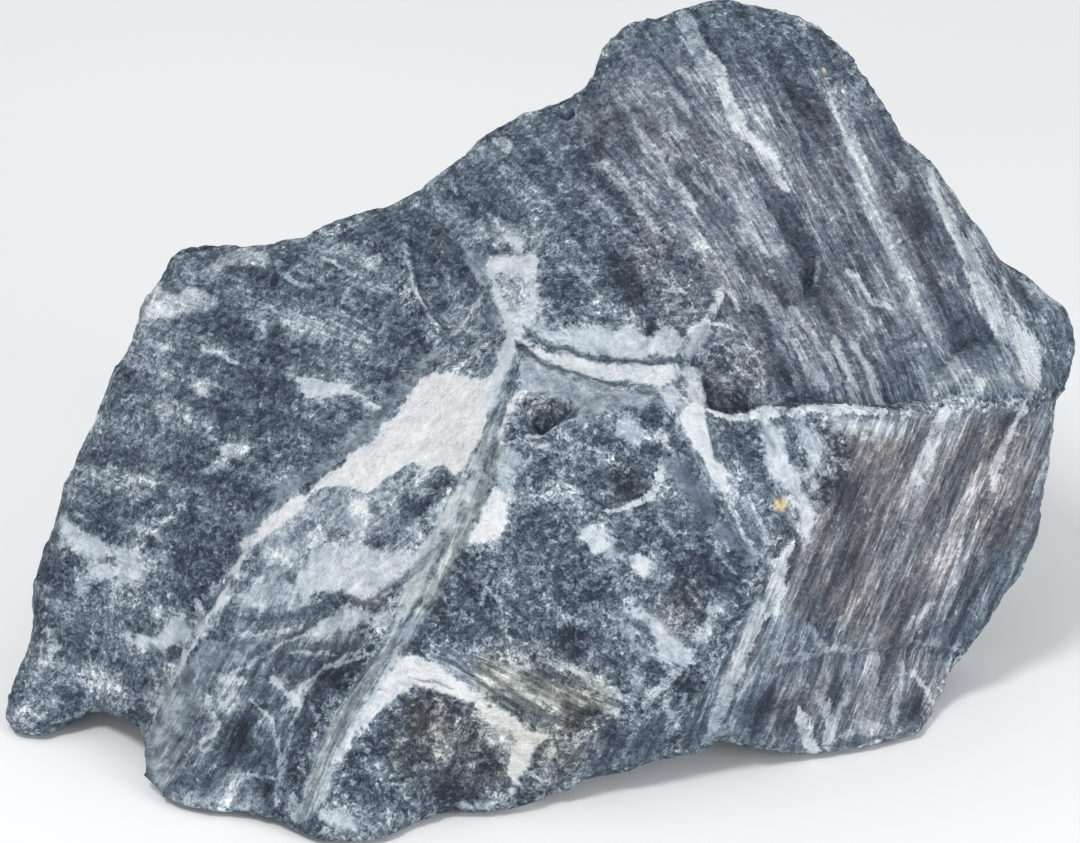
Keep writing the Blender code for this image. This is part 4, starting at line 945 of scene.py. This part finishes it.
def bent(across, places, slopes):
    """The height of a curve with these slopes at these places."""
    steps = np.linspace(places[0], places[-1], CURVE_STEPS)
    curve = np.cumsum(np.interp(steps, places, slopes)) * (steps[1] - steps[0])
    return np.interp(across, steps, curve)


def unseen_grain(place):
    """Coordinates in the leaves of the rock: two along them and the third through them."""
    first = np.cross(LEAF_NORMAL, (0.0, 0.0, 1.0))
    first /= np.linalg.norm(first)
    second = np.cross(LEAF_NORMAL, first)
    through = place @ LEAF_NORMAL + bent(place[:, 0], LEAN_PLACES, LEAN_SLOPES)
    return np.stack((place @ first, place @ second, through), 1)


def upper_grain(seen):
    """Coordinates along, into and across the grain of the upper slope."""
    along = UPPER_ALONG[0] * seen.across + UPPER_ALONG[1] * seen.up
    rise = seen.up + bent(seen.across, UPPER_PLACES, UPPER_SLOPES)
    return np.stack((along, seen.near, UPPER_ACROSS * rise), 1)


def grain_place(seen, place):
    """Coordinates along, into and across the grain, which follows its region's line where the viewer
    sees it."""
    stir = np.array([noise.noise_vector(Vector(p) / STIR_SIZE) for p in place]) * STIR
    a, v = seen.across + stir[:, 0], seen.up + stir[:, 1]
    grain = upper_grain(seen)
    everything = np.arange(len(a))
    for outline, line in REGIONS[::-1]:
        chosen = everything[within(list(outline) + [outline[0]], a, v)]
        _, side, _, along = seen.beside(corners(0.0, line), chosen)
        grain[chosen] = np.stack((along, seen.near[chosen], side), 1)
    _, side, _, along = seen.beside(corners(0.0, NOSE), everything)
    nose = (np.abs(side) < NOSE_REACH) & (v < NOSE_TOP) & (a < 0.0)
    grain[nose] = np.stack((along[nose], seen.near[nose], side[nose]), 1)
    hidden = seen.facing + 0.1 * stir[:, 2] < -0.05
    grain[hidden] = unseen_grain(place)[hidden]
    return grain


def edge_ends(mesh):
    """The vertices at the first and at the second end of every edge."""
    edges = np.empty(len(mesh.edges) * 2, np.int32)
    mesh.edges.foreach_get("vertices", edges)
    return edges.reshape(-1, 2).T


def joins(mesh, leaf):
    """1 on the vertices where the leaf coordinates jump from one region to the next, fading beside them."""
    first, second = edge_ends(mesh)
    jump = np.linalg.norm(leaf[first] - leaf[second], axis=1)
    near = np.zeros(len(leaf))
    torn = jump > LEAF_JUMP
    near[first[torn]] = near[second[torn]] = 1.0
    for weight in (1.0, 0.6):
        spread = near.copy()
        np.maximum.at(spread, first, near[second] * weight)
        np.maximum.at(spread, second, near[first] * weight)
        near = spread
    return near


def stepped(seen):
    """The drop behind each step, in millimetres."""
    total = np.zeros(len(seen.up))
    for depth, fade, *points in STEPS:
        path = corners(0.0, points)
        chosen = seen.around(path, fade * 2.2)
        nearest, side, half, _ = seen.beside(path, chosen)
        right = np.where(side > 0, nearest, 0.0)
        ends = smooth(-2.5, 0.0, half)
        drop = depth * smooth(0.0, 0.9, right) * np.exp(-(right / fade) ** 2) * ends
        total[chosen] = np.maximum(total[chosen], drop)
    return total * smooth(-0.1, 0.15, seen.facing)


def edge_sharpness(mesh, place, normal):
    """Above nought on edges that stand out, drawn lighter as worn; below it in corners and cracks, painted
    shade.
    """
    first, second = edge_ends(mesh)
    total, count = np.zeros_like(place), np.zeros(len(place))
    for here, there in ((first, second), (second, first)):
        np.add.at(total, here, place[there])
        np.add.at(count, here, 1.0)
    middle = total / np.maximum(count, 1.0)[:, None]
    bulge = ((place - middle) * normal).sum(1)
    for _ in range(2):
        spread = bulge.copy()
        for here, there in ((first, second), (second, first)):
            np.add.at(spread, here, bulge[there])
        bulge = spread / (count + 1.0)
    return bulge / FINE_VOXEL


def vectors(mesh, kind):
    """One row for each vertex: its place ("co") or its normal ("normal")."""
    values = np.empty(len(mesh.vertices) * 3, np.float32)
    mesh.vertices.foreach_get(kind, values)
    return values.reshape(-1, 3).astype(float)


def fine_copy(node):
    """A copy of the solid with small, even faces, its facets softened."""
    stone = bpy.data.objects.new("stone_surface", node.data.copy())
    bpy.context.scene.collection.objects.link(stone)
    stone.data.materials.clear()
    weld = stone.modifiers.new("weld", "WELD")
    weld.merge_threshold = WELD * MM
    remesh = stone.modifiers.new("remesh", "REMESH")
    remesh.mode = "VOXEL"
    remesh.voxel_size = FINE_VOXEL * MM
    ease = stone.modifiers.new("ease", "SMOOTH")
    ease.factor = EASE
    ease.iterations = SMOOTHINGS
    bpy.context.view_layer.update()
    evaluated = stone.evaluated_get(bpy.context.evaluated_depsgraph_get())
    mesh = bpy.data.meshes.new_from_object(evaluated)
    stone.modifiers.clear()
    stone.data = mesh
    mesh.name = "stone_surface"
    mesh.polygons.foreach_set("use_smooth", np.ones(len(mesh.polygons), bool))
    return stone


def faceted(point, size, slope):
    """Height of small flat chips about one size across, each tilted its own way."""
    centre = noise.voronoi(point / size)[1][0]
    tilt = noise.cell_vector(centre * 7.3)
    return (point / size - centre).dot(tilt) * size * slope


def chip_heights(place, leaf, share, depth):
    """How far each vertex moves outwards: chips, splinters along the leaves, and grain."""
    heights = np.empty(len(place))
    for i, (p, q, streak, inside) in enumerate(zip(place, leaf, share, depth)):
        point = Vector(p)
        along = Vector((q[0] / SPLINTER_LENGTH, q[1] / SPLINTER_LENGTH, q[2] * SPLINTER_FINENESS))
        stirred = point + noise.noise_vector(point / CHIPS_STIRRED)
        broken = 0.5 + 0.9 * max(0.0, min(1.0, 0.4 + 1.6 * noise.noise(point / PATCH_WIDTH)))
        chips = sum(faceted(stirred, *chip) for chip in CHIPS)
        splinters = faceted(along, *SPLINTER) + 0.1 * noise.noise(along * 1.1)
        grain = GRAIN_HEIGHT * noise.noise(point / GRAIN_SIZE)
        streak = min(streak, 1.0)
        rough = broken * (chips * (1.0 - 0.7 * streak) + splinters * streak) + grain
        heights[i] = rough * (QUARTZ_ROUGHNESS if inside > 0.3 else 1.0)
    return heights - SINK


def slow_noise(place, leaf):
    """Noises too wide to need the shader: broad bands, bends, sheets between the leaves, and across them."""
    values = np.empty((len(place), 4))
    for i, (p, q) in enumerate(zip(place, leaf)):
        point, along = Vector(p), Vector((q[0] / 60.0, q[1] / 60.0, q[2] / 7.0))
        bend = noise.noise(point / 4.4) + 0.5 * noise.noise(point / 2.2)
        far = noise.noise(along) + 0.5 * noise.noise(along * 2.0) + 0.25 * noise.noise(along * 4.0)
        wide = noise.noise(Vector((q[0] / 34.0, q[1] / 34.0, q[2] / 5.0))) + 0.6 * noise.noise(point / 15.0)
        values[i] = wide, bend, far, noise.noise(point / 46.0)
    return values * 1.5


def write_layer(mesh, name, values):
    kind = "FLOAT_VECTOR" if values.ndim == 2 else "FLOAT"
    layer = mesh.attributes.new(name, kind, "POINT")
    layer.data.foreach_set("vector" if values.ndim == 2 else "value", values.astype(np.float32).ravel())


def dress(node, low, high):
    """The fine surface with its strokes and leaf coordinates, inside the solid's box."""
    stone = fine_copy(node)
    mesh = stone.data
    place, normal = vectors(mesh, "co") / MM, vectors(mesh, "normal")
    seen = Seen(place, normal)
    leaf = grain_place(seen, place)
    share = streak_share(seen) * (1.0 - joins(mesh, leaf))
    depth, white = quartz_field(seen)
    seams_and_shade_lines = stroke_layers(seen, SEAMS_AND_SHADE_LINES, SEAM_LAYERS)
    rim = smooth(0.4, 0.0, np.abs(seen.facing))
    height = chip_heights(place, leaf, share, depth) * (1.0 - RIM_CALM * rim)
    height += soft_sum(seen, PITS) - stepped(seen)
    for side, half, strength in (layer.T for layer in seams_and_shade_lines):
        height -= SEAM_DEPTH * strength * smooth(-1.0, 0.6, half - np.abs(side))
    steady = smooth(*BASE_RISE, place[:, 2])
    moved = place + normal * (height * steady)[:, None]
    moved = np.clip(moved, np.array(low) / MM, np.array(high) / MM)
    mesh.vertices.foreach_set("co", (moved * MM).astype(np.float32).ravel())
    mesh.update()

    write_layer(mesh, "leaf", leaf)
    write_layer(mesh, "place", place)
    write_layer(mesh, "quartz", np.stack((depth, white, share), 1))
    slow = slow_noise(place, leaf)
    write_layer(mesh, "slow", slow[:, :3])
    write_layer(mesh, "cross", np.repeat(slow[:, 3:], 3, 1))
    for i, layer in enumerate(stroke_layers(seen, VEINS, VEIN_LAYERS)):
        write_layer(mesh, "vein_%d" % i, layer)
    for i, layer in enumerate(seams_and_shade_lines):
        write_layer(mesh, "seam_%d" % i, layer)
    haze = soft_sum(seen, HAZES) + patched(seen)
    # Edges that stand out and corners that sink in: worn, lighter edges and painted shade in the shader
    sharp = edge_sharpness(mesh, moved, vectors(mesh, "normal"))
    unseen = smooth(0.05, -0.25, seen.facing)
    write_layer(mesh, "shade", np.stack((haze, sharp, unseen), 1))
    stains = [soft_sum(seen, [s[1:] for s in STAINS if s[0] == kind]) for kind in STAIN_KINDS]
    write_layer(mesh, "stain", np.stack(stains, 1))
    return stone


def linear(red, green, blue):
    """A colour given on a screen's 0 to 255 scale, as the shader wants it."""
    values = [c / 255.0 for c in (red, green, blue)]
    return tuple(c / 12.92 if c <= 0.04045 else ((c + 0.055) / 1.055) ** 2.4 for c in values) + (1.0,)


class Paint:
    """Short ways to add shader nodes. A value may be a socket or a number."""

    def __init__(self, material):
        material.use_nodes = True
        self.nodes, self.links = material.node_tree.nodes, material.node_tree.links
        self.shader = self.nodes["Principled BSDF"]

    def put(self, socket, value):
        if isinstance(value, bpy.types.NodeSocket):
            self.links.new(value, socket)
        else:
            socket.default_value = value

    def math(self, kind, *values, clamp=False):
        node = self.nodes.new("ShaderNodeMath")
        node.operation, node.use_clamp = kind, clamp
        for socket, value in zip(node.inputs, values):
            self.put(socket, value)
        return node.outputs[0]

    def joined(self, kind, values):
        """The values taken together, two at a time, by one kind of maths."""
        total = values[0]
        for value in values[1:]:
            total = self.math(kind, total, value)
        return total

    def add(self, *values):
        return self.joined("ADD", values)

    def times(self, *values):
        return self.joined("MULTIPLY", values)

    def most(self, *values):
        return self.joined("MAXIMUM", values)

    def weighed(self, *pairs):
        """The sum of values, each times its weight."""
        return self.add(*(self.times(value, weight) for value, weight in pairs))

    def less(self, a, b):
        return self.math("SUBTRACT", a, b)

    def span(self, value, low, high, start=0.0, end=1.0, kind="SMOOTHSTEP"):
        """From the start at low to the end at high, eased at both, or in an even slope."""
        node = self.nodes.new("ShaderNodeMapRange")
        node.interpolation_type = kind
        for socket, item in zip(node.inputs, (value, low, high, start, end)):
            self.put(socket, item)
        return node.outputs[0]

    def slope(self, value, low, high, start=0.0, end=1.0):
        return self.span(value, low, high, start, end, "LINEAR")

    def thin_line(self, value, far, near):
        """1 where the value is nought, and nought where it is further from that than far."""
        return self.span(self.math("ABSOLUTE", value), far, near)

    def towards(self, amount, value, aim):
        """The value moved towards the aim by the amount."""
        return self.add(value, self.times(amount, self.less(aim, value)))

    def layer(self, name):
        """What the surface holds under this name, as a vector."""
        node = self.nodes.new("ShaderNodeAttribute")
        node.attribute_name = name
        return node.outputs["Vector"]

    def parts(self, vector):
        node = self.nodes.new("ShaderNodeSeparateXYZ")
        self.put(node.inputs[0], vector)
        return node.outputs[:3]

    def scaled(self, vector, sizes, move=(0.0, 0.0, 0.0)):
        """The coordinates with these sizes as one unit."""
        node = self.nodes.new("ShaderNodeMapping")
        self.put(node.inputs["Vector"], vector)
        node.inputs["Scale"].default_value = [1.0 / s for s in sizes]
        node.inputs["Location"].default_value = move
        return node.outputs[0]

    def texture(self, kind, vector):
        """A noise or a pattern of cells, its size given by the coordinates alone."""
        node = self.nodes.new(kind)
        self.put(node.inputs["Vector"], vector)
        node.inputs["Scale"].default_value = 1.0
        return node

    def stirred(self, vector, size, amount):
        """The coordinates pushed about by noise."""
        node = self.texture("ShaderNodeTexNoise", self.scaled(vector, (size,) * 3))
        push = self.nodes.new("ShaderNodeVectorMath")
        push.operation = "MULTIPLY_ADD"
        self.put(push.inputs[0], node.outputs["Color"])
        push.inputs[1].default_value = (amount,) * 3
        self.put(push.inputs[2], vector)
        return push.outputs[0]

    def grains(self, vector):
        """A value from -1 to 1 for each small grain, sharp at the borders between them."""
        node = self.texture("ShaderNodeTexVoronoi", vector)
        return self.math("MULTIPLY_ADD", self.parts(node.outputs["Color"])[0], 2.0, -1.0)

    def noise(self, vector, detail=2.0, rough=0.55, twist=0.0):
        """Noise about nought, mostly between -1 and 1."""
        node = self.texture("ShaderNodeTexNoise", vector)
        node.inputs["Detail"].default_value = detail
        node.inputs["Roughness"].default_value = rough
        node.inputs["Distortion"].default_value = twist
        return self.math("MULTIPLY_ADD", node.outputs[0], 4.0, -2.0)

    def mix(self, amount, a, b, kind="MIX"):
        node = self.nodes.new("ShaderNodeMix")
        node.data_type, node.blend_type = "RGBA", kind
        self.put(node.inputs[0], amount)
        self.put(node.inputs[6], a)
        self.put(node.inputs[7], b)
        return node.outputs[2]

    def ramp(self, value, stops):
        """The screen colour that a value turns into, between stops that run from nought to the last one's
        place or less."""
        top = stops[-1][0]
        node = self.nodes.new("ShaderNodeValToRGB")
        self.put(node.inputs[0], self.times(value, 1.0 / top))
        elements = node.color_ramp.elements
        while len(elements) < len(stops):
            elements.new(0.5)
        for element, (where, colour) in zip(elements, stops):
            element.position, element.color = where / top, linear(*colour)
        return node.outputs[0]


def shared_sockets(paint):
    """What the surface holds, and the noises and sums that several of the markings use, by name."""
    n = SimpleNamespace(place=paint.layer("place"), leaf=paint.layer("leaf"))
    n.depth, n.white, n.share = paint.parts(paint.layer("quartz"))
    n.haze, n.sharp, n.unseen = paint.parts(paint.layer("shade"))
    n.olive, n.brown, n.tan = paint.parts(paint.layer("stain"))
    n.wide, n.bend, n.far = paint.parts(paint.layer("slow"))
    n.cross = paint.parts(paint.layer("cross"))[0]
    for name, (space, sizes, move, detail, rough, twist) in NOISES.items():
        vector = paint.scaled(getattr(n, space), sizes, move)
        setattr(n, name, paint.noise(vector, detail, rough, twist))
    n.chip = paint.grains(paint.scaled(paint.stirred(n.place, 1.2, 1.4), (0.9, 0.9, 0.9)))
    n.leafy = paint.math("MINIMUM", n.share, 1.0)
    n.line = paint.thin_line(n.sheaf, 0.12, 0.03)
    n.dark_line = paint.thin_line(paint.less(n.sheaf, 0.55), 0.1, 0.03)
    n.patchy = paint.add(paint.weighed((n.bend, 0.5), (n.wisp, 0.5)), n.lace)
    n.wobble = paint.weighed((n.bend, 0.55), (n.fleck, 0.15))
    n.frayed = paint.weighed((n.fleck, 0.3), (n.wisp, 0.35), (n.grain, 0.16))
    return n


def plain_rock(paint, n):
    """The lightness of mottles with crisp islands, of streaks and thin lines along the leaves, of worn edges,
    and the painted shade of corners and cracks.
    """
    lit = paint.add(n.lace, paint.times(n.haze, 0.9))
    islands = paint.add(paint.span(lit, 0.38, 0.62, 0.0, 0.22), paint.span(n.lace, -0.3, -0.54, 0.0, -0.17))
    mottled = paint.add(paint.weighed((n.blotch, 0.26), (n.chip, 0.2)), islands)
    mottled = paint.times(mottled, paint.less(1.15, n.leafy))
    speckled = paint.times(paint.weighed((n.fleck, 0.15), (n.grain, 0.12)),
                           paint.span(n.share, 0.3, 0.9, 1.0, 0.6))
    combed = paint.times(n.thread, paint.most(paint.less(n.share, 0.8), 0.0), 0.2)
    calm = paint.span(n.haze, 0.1, 0.45, 1.0, 0.6)
    fine = paint.times(paint.add(mottled, speckled, combed), calm)
    streaked = paint.times(paint.weighed((n.band, 0.26), (n.wisp, 0.14), (n.chip, 0.04)), n.leafy)
    lined = paint.times(n.leafy, paint.span(paint.add(n.wisp, n.wide), -0.6, 0.7))
    lines = paint.times(lined, paint.weighed((n.line, 0.22), (n.dark_line, -0.16)))
    # Worn edges lighter; painted shade darkens corners and cracks
    edges = paint.times(paint.most(n.sharp, -0.3), 0.7)
    return paint.add(BASE_TONE, fine, streaked, paint.times(n.wide, 0.14), n.haze, lines, edges)


def small_marks(paint, n):
    """How much lighter thin healed cracks, specks in clusters, and wisps along the leaves are."""
    crack = paint.times(paint.thin_line(n.net, 0.12, 0.03),
                        paint.span(paint.add(n.blotch, n.wide), -0.3, 0.7),
                        paint.span(n.share, 0.4, 0.9, 1.0, 0.2))
    speck = paint.span(paint.add(n.chip, paint.weighed((n.blotch, 0.8), (n.haze, 0.8))), 1.05, 1.4)
    wispy = paint.add(n.wisp, n.haze, paint.weighed((n.fleck, 0.3), (n.wide, 0.4)))
    thin = paint.times(paint.span(wispy, 0.8, 1.15), n.leafy)
    return paint.weighed((crack, 0.2), (speck, 0.2), (thin, 0.22))


def unseen_veins(paint, n):
    """Bands and veins of the sides that the strokes don't reach."""
    sheet = paint.thin_line(paint.add(n.far, paint.times(n.blotch, 0.06)), 0.1, 0.02)
    body = paint.span(paint.add(n.far, paint.times(n.blotch, 0.08)), 0.6, 0.72)
    across = paint.thin_line(paint.add(n.cross, paint.times(n.fleck, 0.01)), 0.022, 0.008)
    return paint.times(n.unseen, paint.most(paint.times(sheet, 0.8), body, paint.times(across, 0.7)))


def stroke_field(paint, name, wobble, frayed):
    """How far inside a stroke this is, in millimetres, its edges made uneven; the stroke's strength; and how
    soft its edge may be, from 0.45 for a thin line to 1."""
    side, half, strength = paint.parts(paint.layer(name))
    away = paint.math("ABSOLUTE", paint.add(side, wobble))
    broad = paint.slope(half, 0.2, 1.2, 0.45, 1.0)
    return paint.add(paint.less(half, away), paint.times(frayed, broad)), strength, broad


def veins(paint, n):
    """How far the rock takes the veins' lightness: strong veins have crisp edges, weak ones fade out."""
    lift = paint.times(unseen_veins(paint, n), 1.1)
    for i in range(VEIN_LAYERS):
        field, strength, broad = stroke_field(paint, "vein_%d" % i, n.wobble, n.frayed)
        soft = paint.times(broad, paint.slope(strength, 0.5, 0.95, 1.0, 0.4))
        core = paint.span(field, paint.times(soft, -1.0), paint.times(soft, 0.8))
        lift = paint.most(lift, paint.times(core, strength))
    fitful = paint.span(paint.add(n.patchy, paint.times(lift, 0.7)), -0.8, 1.2, 0.4, 1.1)
    return paint.times(lift, fitful, 0.62)


def quartz_marks(paint, n):
    """How far the rock is quartz, how light that is, and how much lighter the rock beside it is. The whiter
    the quartz, the cleaner its edge and the more even its face."""
    ragged = paint.times(paint.weighed((n.bend, 0.7), (n.fleck, 0.4), (n.wisp, 0.3)),
                         paint.slope(n.white, 0.75, 1.0, 1.5, 0.8))
    inside = paint.add(n.depth, ragged)
    edge = paint.slope(n.white, 0.6, 1.0, 1.2, 0.4)
    gaps = paint.span(paint.add(n.blotch, paint.times(n.band, 0.7)), 0.8, 1.4)
    quartz = paint.times(paint.span(inside, paint.times(edge, -1.0), edge),
                         paint.less(1.0, paint.times(gaps, 0.5)))
    ruled = paint.times(paint.weighed((n.thread, 0.1), (n.line, 0.2), (n.dark_line, -0.14)), n.leafy,
                        paint.span(n.white, 0.55, 0.8, 1.0, 0.1))
    uneven = paint.times(paint.weighed((n.blotch, 0.22), (n.lace, 0.18)),
                         paint.slope(n.white, 0.5, 1.0, 1.0, 0.4))
    milk = paint.add(paint.slope(n.white, 0.0, 1.0, 0.34, 1.01), ruled, uneven,
                     paint.weighed((n.wisp, 0.05), (n.fleck, 0.04), (n.grain, 0.03)))
    veil = paint.times(paint.span(inside, -3.0, 0.2), paint.span(n.white, 0.5, 0.8), 0.16)
    return quartz, milk, veil


def seams_and_shade_lines(paint, n):
    """How far the rock takes the lightness of the dark seams and of the painted shade lines, their edges
    torn.
    """
    seam_and_shade = 0.0
    torn = paint.add(n.frayed, paint.times(n.lace, 0.4), -0.25)
    for i in range(SEAM_LAYERS):
        field, strength, _ = stroke_field(paint, "seam_%d" % i, n.wobble, torn)
        seam_and_shade = paint.most(seam_and_shade, paint.times(paint.span(field, -0.35, 0.4), strength))
    return paint.times(seam_and_shade, paint.span(n.patchy, -1.0, 0.6, 0.45, 1.0))


def coloured(paint, n, tone, quartz):
    """The colour of a lightness, tinted by brown and olive stains, with spots of rust."""
    rock = paint.ramp(tone, ROCK_COLOURS)
    streaky = paint.span(paint.add(n.sheaf, paint.times(n.wisp, 0.6)), -0.6, 0.7, 0.6, 1.5)
    brown = paint.add(paint.times(n.brown, streaky, paint.span(tone, 0.3, 1.05, 1.4, 0.19)),
                      paint.times(quartz, paint.span(n.white, 0.85, 1.0, 0.0, 0.22)))
    rock = paint.mix(brown, rock, BROWN_TINT, "MULTIPLY")
    green = paint.times(n.olive, paint.span(tone, 0.35, 1.1, 1.25, 0.7))
    rock = paint.mix(green, rock, OLIVE_TINT, "MULTIPLY")
    rust = paint.ramp(paint.add(0.5, paint.times(n.fleck, 0.3)), RUST_COLOURS)
    spots = paint.times(n.tan, paint.add(1.0, paint.weighed((n.fleck, 0.5), (n.lace, 0.4))))
    return paint.mix(paint.span(spots, 0.3, 0.75), rock, rust)


def relief(paint, n, quartz, seam_and_shade):
    """Small heights, in millimetres: rough ground, ridges along the leaves, and the grooves of the seams and
    shade lines.
    """
    rough = paint.weighed((n.blotch, 0.46), (n.fleck, 0.22), (n.chip, 0.05), (n.lace, 0.16))
    worn = paint.slope(paint.add(quartz, paint.times(n.leafy, 0.5)), 0.0, 1.2, 1.0, 0.5)
    ridges = paint.times(n.share, paint.less(1.0, quartz),
                         paint.weighed((n.band, 0.24), (n.thread, 0.14), (n.wisp, 0.1)))
    return paint.add(paint.times(rough, worn), ridges, paint.times(seam_and_shade, -0.4))


def rock_material():
    """All markings set one lightness, which turns into colour; stains tint it afterwards."""
    material = bpy.data.materials.new("banded_stone_fine")
    paint = Paint(material)
    n = shared_sockets(paint)
    quartz, milk, veil = quartz_marks(paint, n)
    seam_and_shade = seams_and_shade_lines(paint, n)
    tone = paint.add(plain_rock(paint, n), small_marks(paint, n))
    tone = paint.towards(veins(paint, n), tone, VEIN_TONE)
    tone = paint.towards(quartz, paint.add(tone, veil), milk)
    dark = paint.add(SEAM_AND_SHADE_TONE, paint.weighed((n.lace, 0.14), (n.grain, 0.12)))
    # Darker along the seams, and along the painted shade of pits, pockets, recesses and the ground under
    # steps and the foot
    tone = paint.towards(paint.times(seam_and_shade, 0.85), tone, dark)
    shine = paint.shader.inputs
    paint.put(shine["Base Color"], coloured(paint, n, tone, quartz))
    paint.put(shine["Roughness"], paint.add(0.66, paint.weighed((n.fleck, 0.05), (quartz, -0.1))))
    shine["Specular IOR Level"].default_value = 0.35
    bump = paint.nodes.new("ShaderNodeBump")
    bump.inputs["Strength"].default_value = 1.0
    bump.inputs["Distance"].default_value = 1.0 * MM
    paint.put(bump.inputs["Height"], relief(paint, n, quartz, seam_and_shade))
    paint.put(shine["Normal"], bump.outputs[0])
    return material


def floor():
    """A pale floor, its colour a little uneven."""
    material = bpy.data.materials.new("pale_floor")
    paint = Paint(material)
    where = paint.nodes.new("ShaderNodeTexCoord").outputs["Object"]
    soft = paint.noise(paint.scaled(where, (0.4, 0.4, 0.4)))
    amount = paint.math("MULTIPLY_ADD", soft, 0.02, 0.04, clamp=True)
    paint.put(paint.shader.inputs["Base Color"], paint.mix(amount, FLOOR_COLOUR, (0.8, 0.8, 0.8, 1.0)))
    paint.shader.inputs["Roughness"].default_value = 0.9
    mesh = bpy.data.meshes.new("floor")
    r = FLOOR_REACH
    mesh.from_pydata([(-r, -r, 0), (r, -r, 0), (r, r, 0), (-r, r, 0)], [], [(0, 1, 2, 3)])
    mesh.materials.append(material)
    floor_object = bpy.data.objects.new("floor", mesh)
    floor_object.location.z = -FLOOR_DROP
    bpy.context.scene.collection.objects.link(floor_object)


def lamp(name, direction, distance, size, watts, colour):
    """A round lamp in this direction from the stone, turned to it."""
    light = bpy.data.lights.new(name, "AREA")
    light.shape, light.size = "DISK", size
    light.energy, light.color = watts, colour
    holder = bpy.data.objects.new(name, light)
    direction = Vector(direction).normalized()
    turn = direction.to_track_quat("Z", "Y").to_matrix().to_4x4()
    holder.matrix_world = Matrix.Translation(Vector(LAMP_AIM) + direction * distance) @ turn
    bpy.context.scene.collection.objects.link(holder)


def studio():
    world = bpy.data.worlds.new("studio")
    world.use_nodes = True
    back = world.node_tree.nodes["Background"]
    back.inputs["Color"].default_value = SKY_COLOUR
    back.inputs["Strength"].default_value = SKY_STRENGTH
    scene = bpy.context.scene
    scene.world = world
    scene.view_settings.view_transform = "Standard"
    for name, settings in LAMPS.items():
        lamp(name, *settings)


def camera():
    data = bpy.data.cameras.new("camera")
    data.sensor_width = SENSOR_WIDTH
    data.sensor_fit = "HORIZONTAL"
    data.lens = SENSOR_WIDTH * EYE / PICTURE_WIDTH
    data.clip_end = 20.0
    viewer = bpy.data.objects.new("camera", data)
    turn = Matrix([(r, u, n) for r, u, n in zip(RIGHT, UP, NEAR)]).to_4x4()
    place = (CENTRE + NEAR * EYE + UP * PICTURE_MIDDLE_UP) * MM
    viewer.matrix_world = Matrix.Translation(Vector(place)) @ turn
    bpy.context.scene.collection.objects.link(viewer)
    bpy.context.scene.camera = viewer


def main():
    noise.seed_set(NOISE_SEED)
    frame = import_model()
    solid_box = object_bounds()
    node = frame["nodes"]["stone"]
    stone = dress(node, *solid_box)
    stone.data.materials.append(rock_material())
    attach(stone, "root")
    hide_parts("stone")
    floor()
    studio()
    camera()


main()
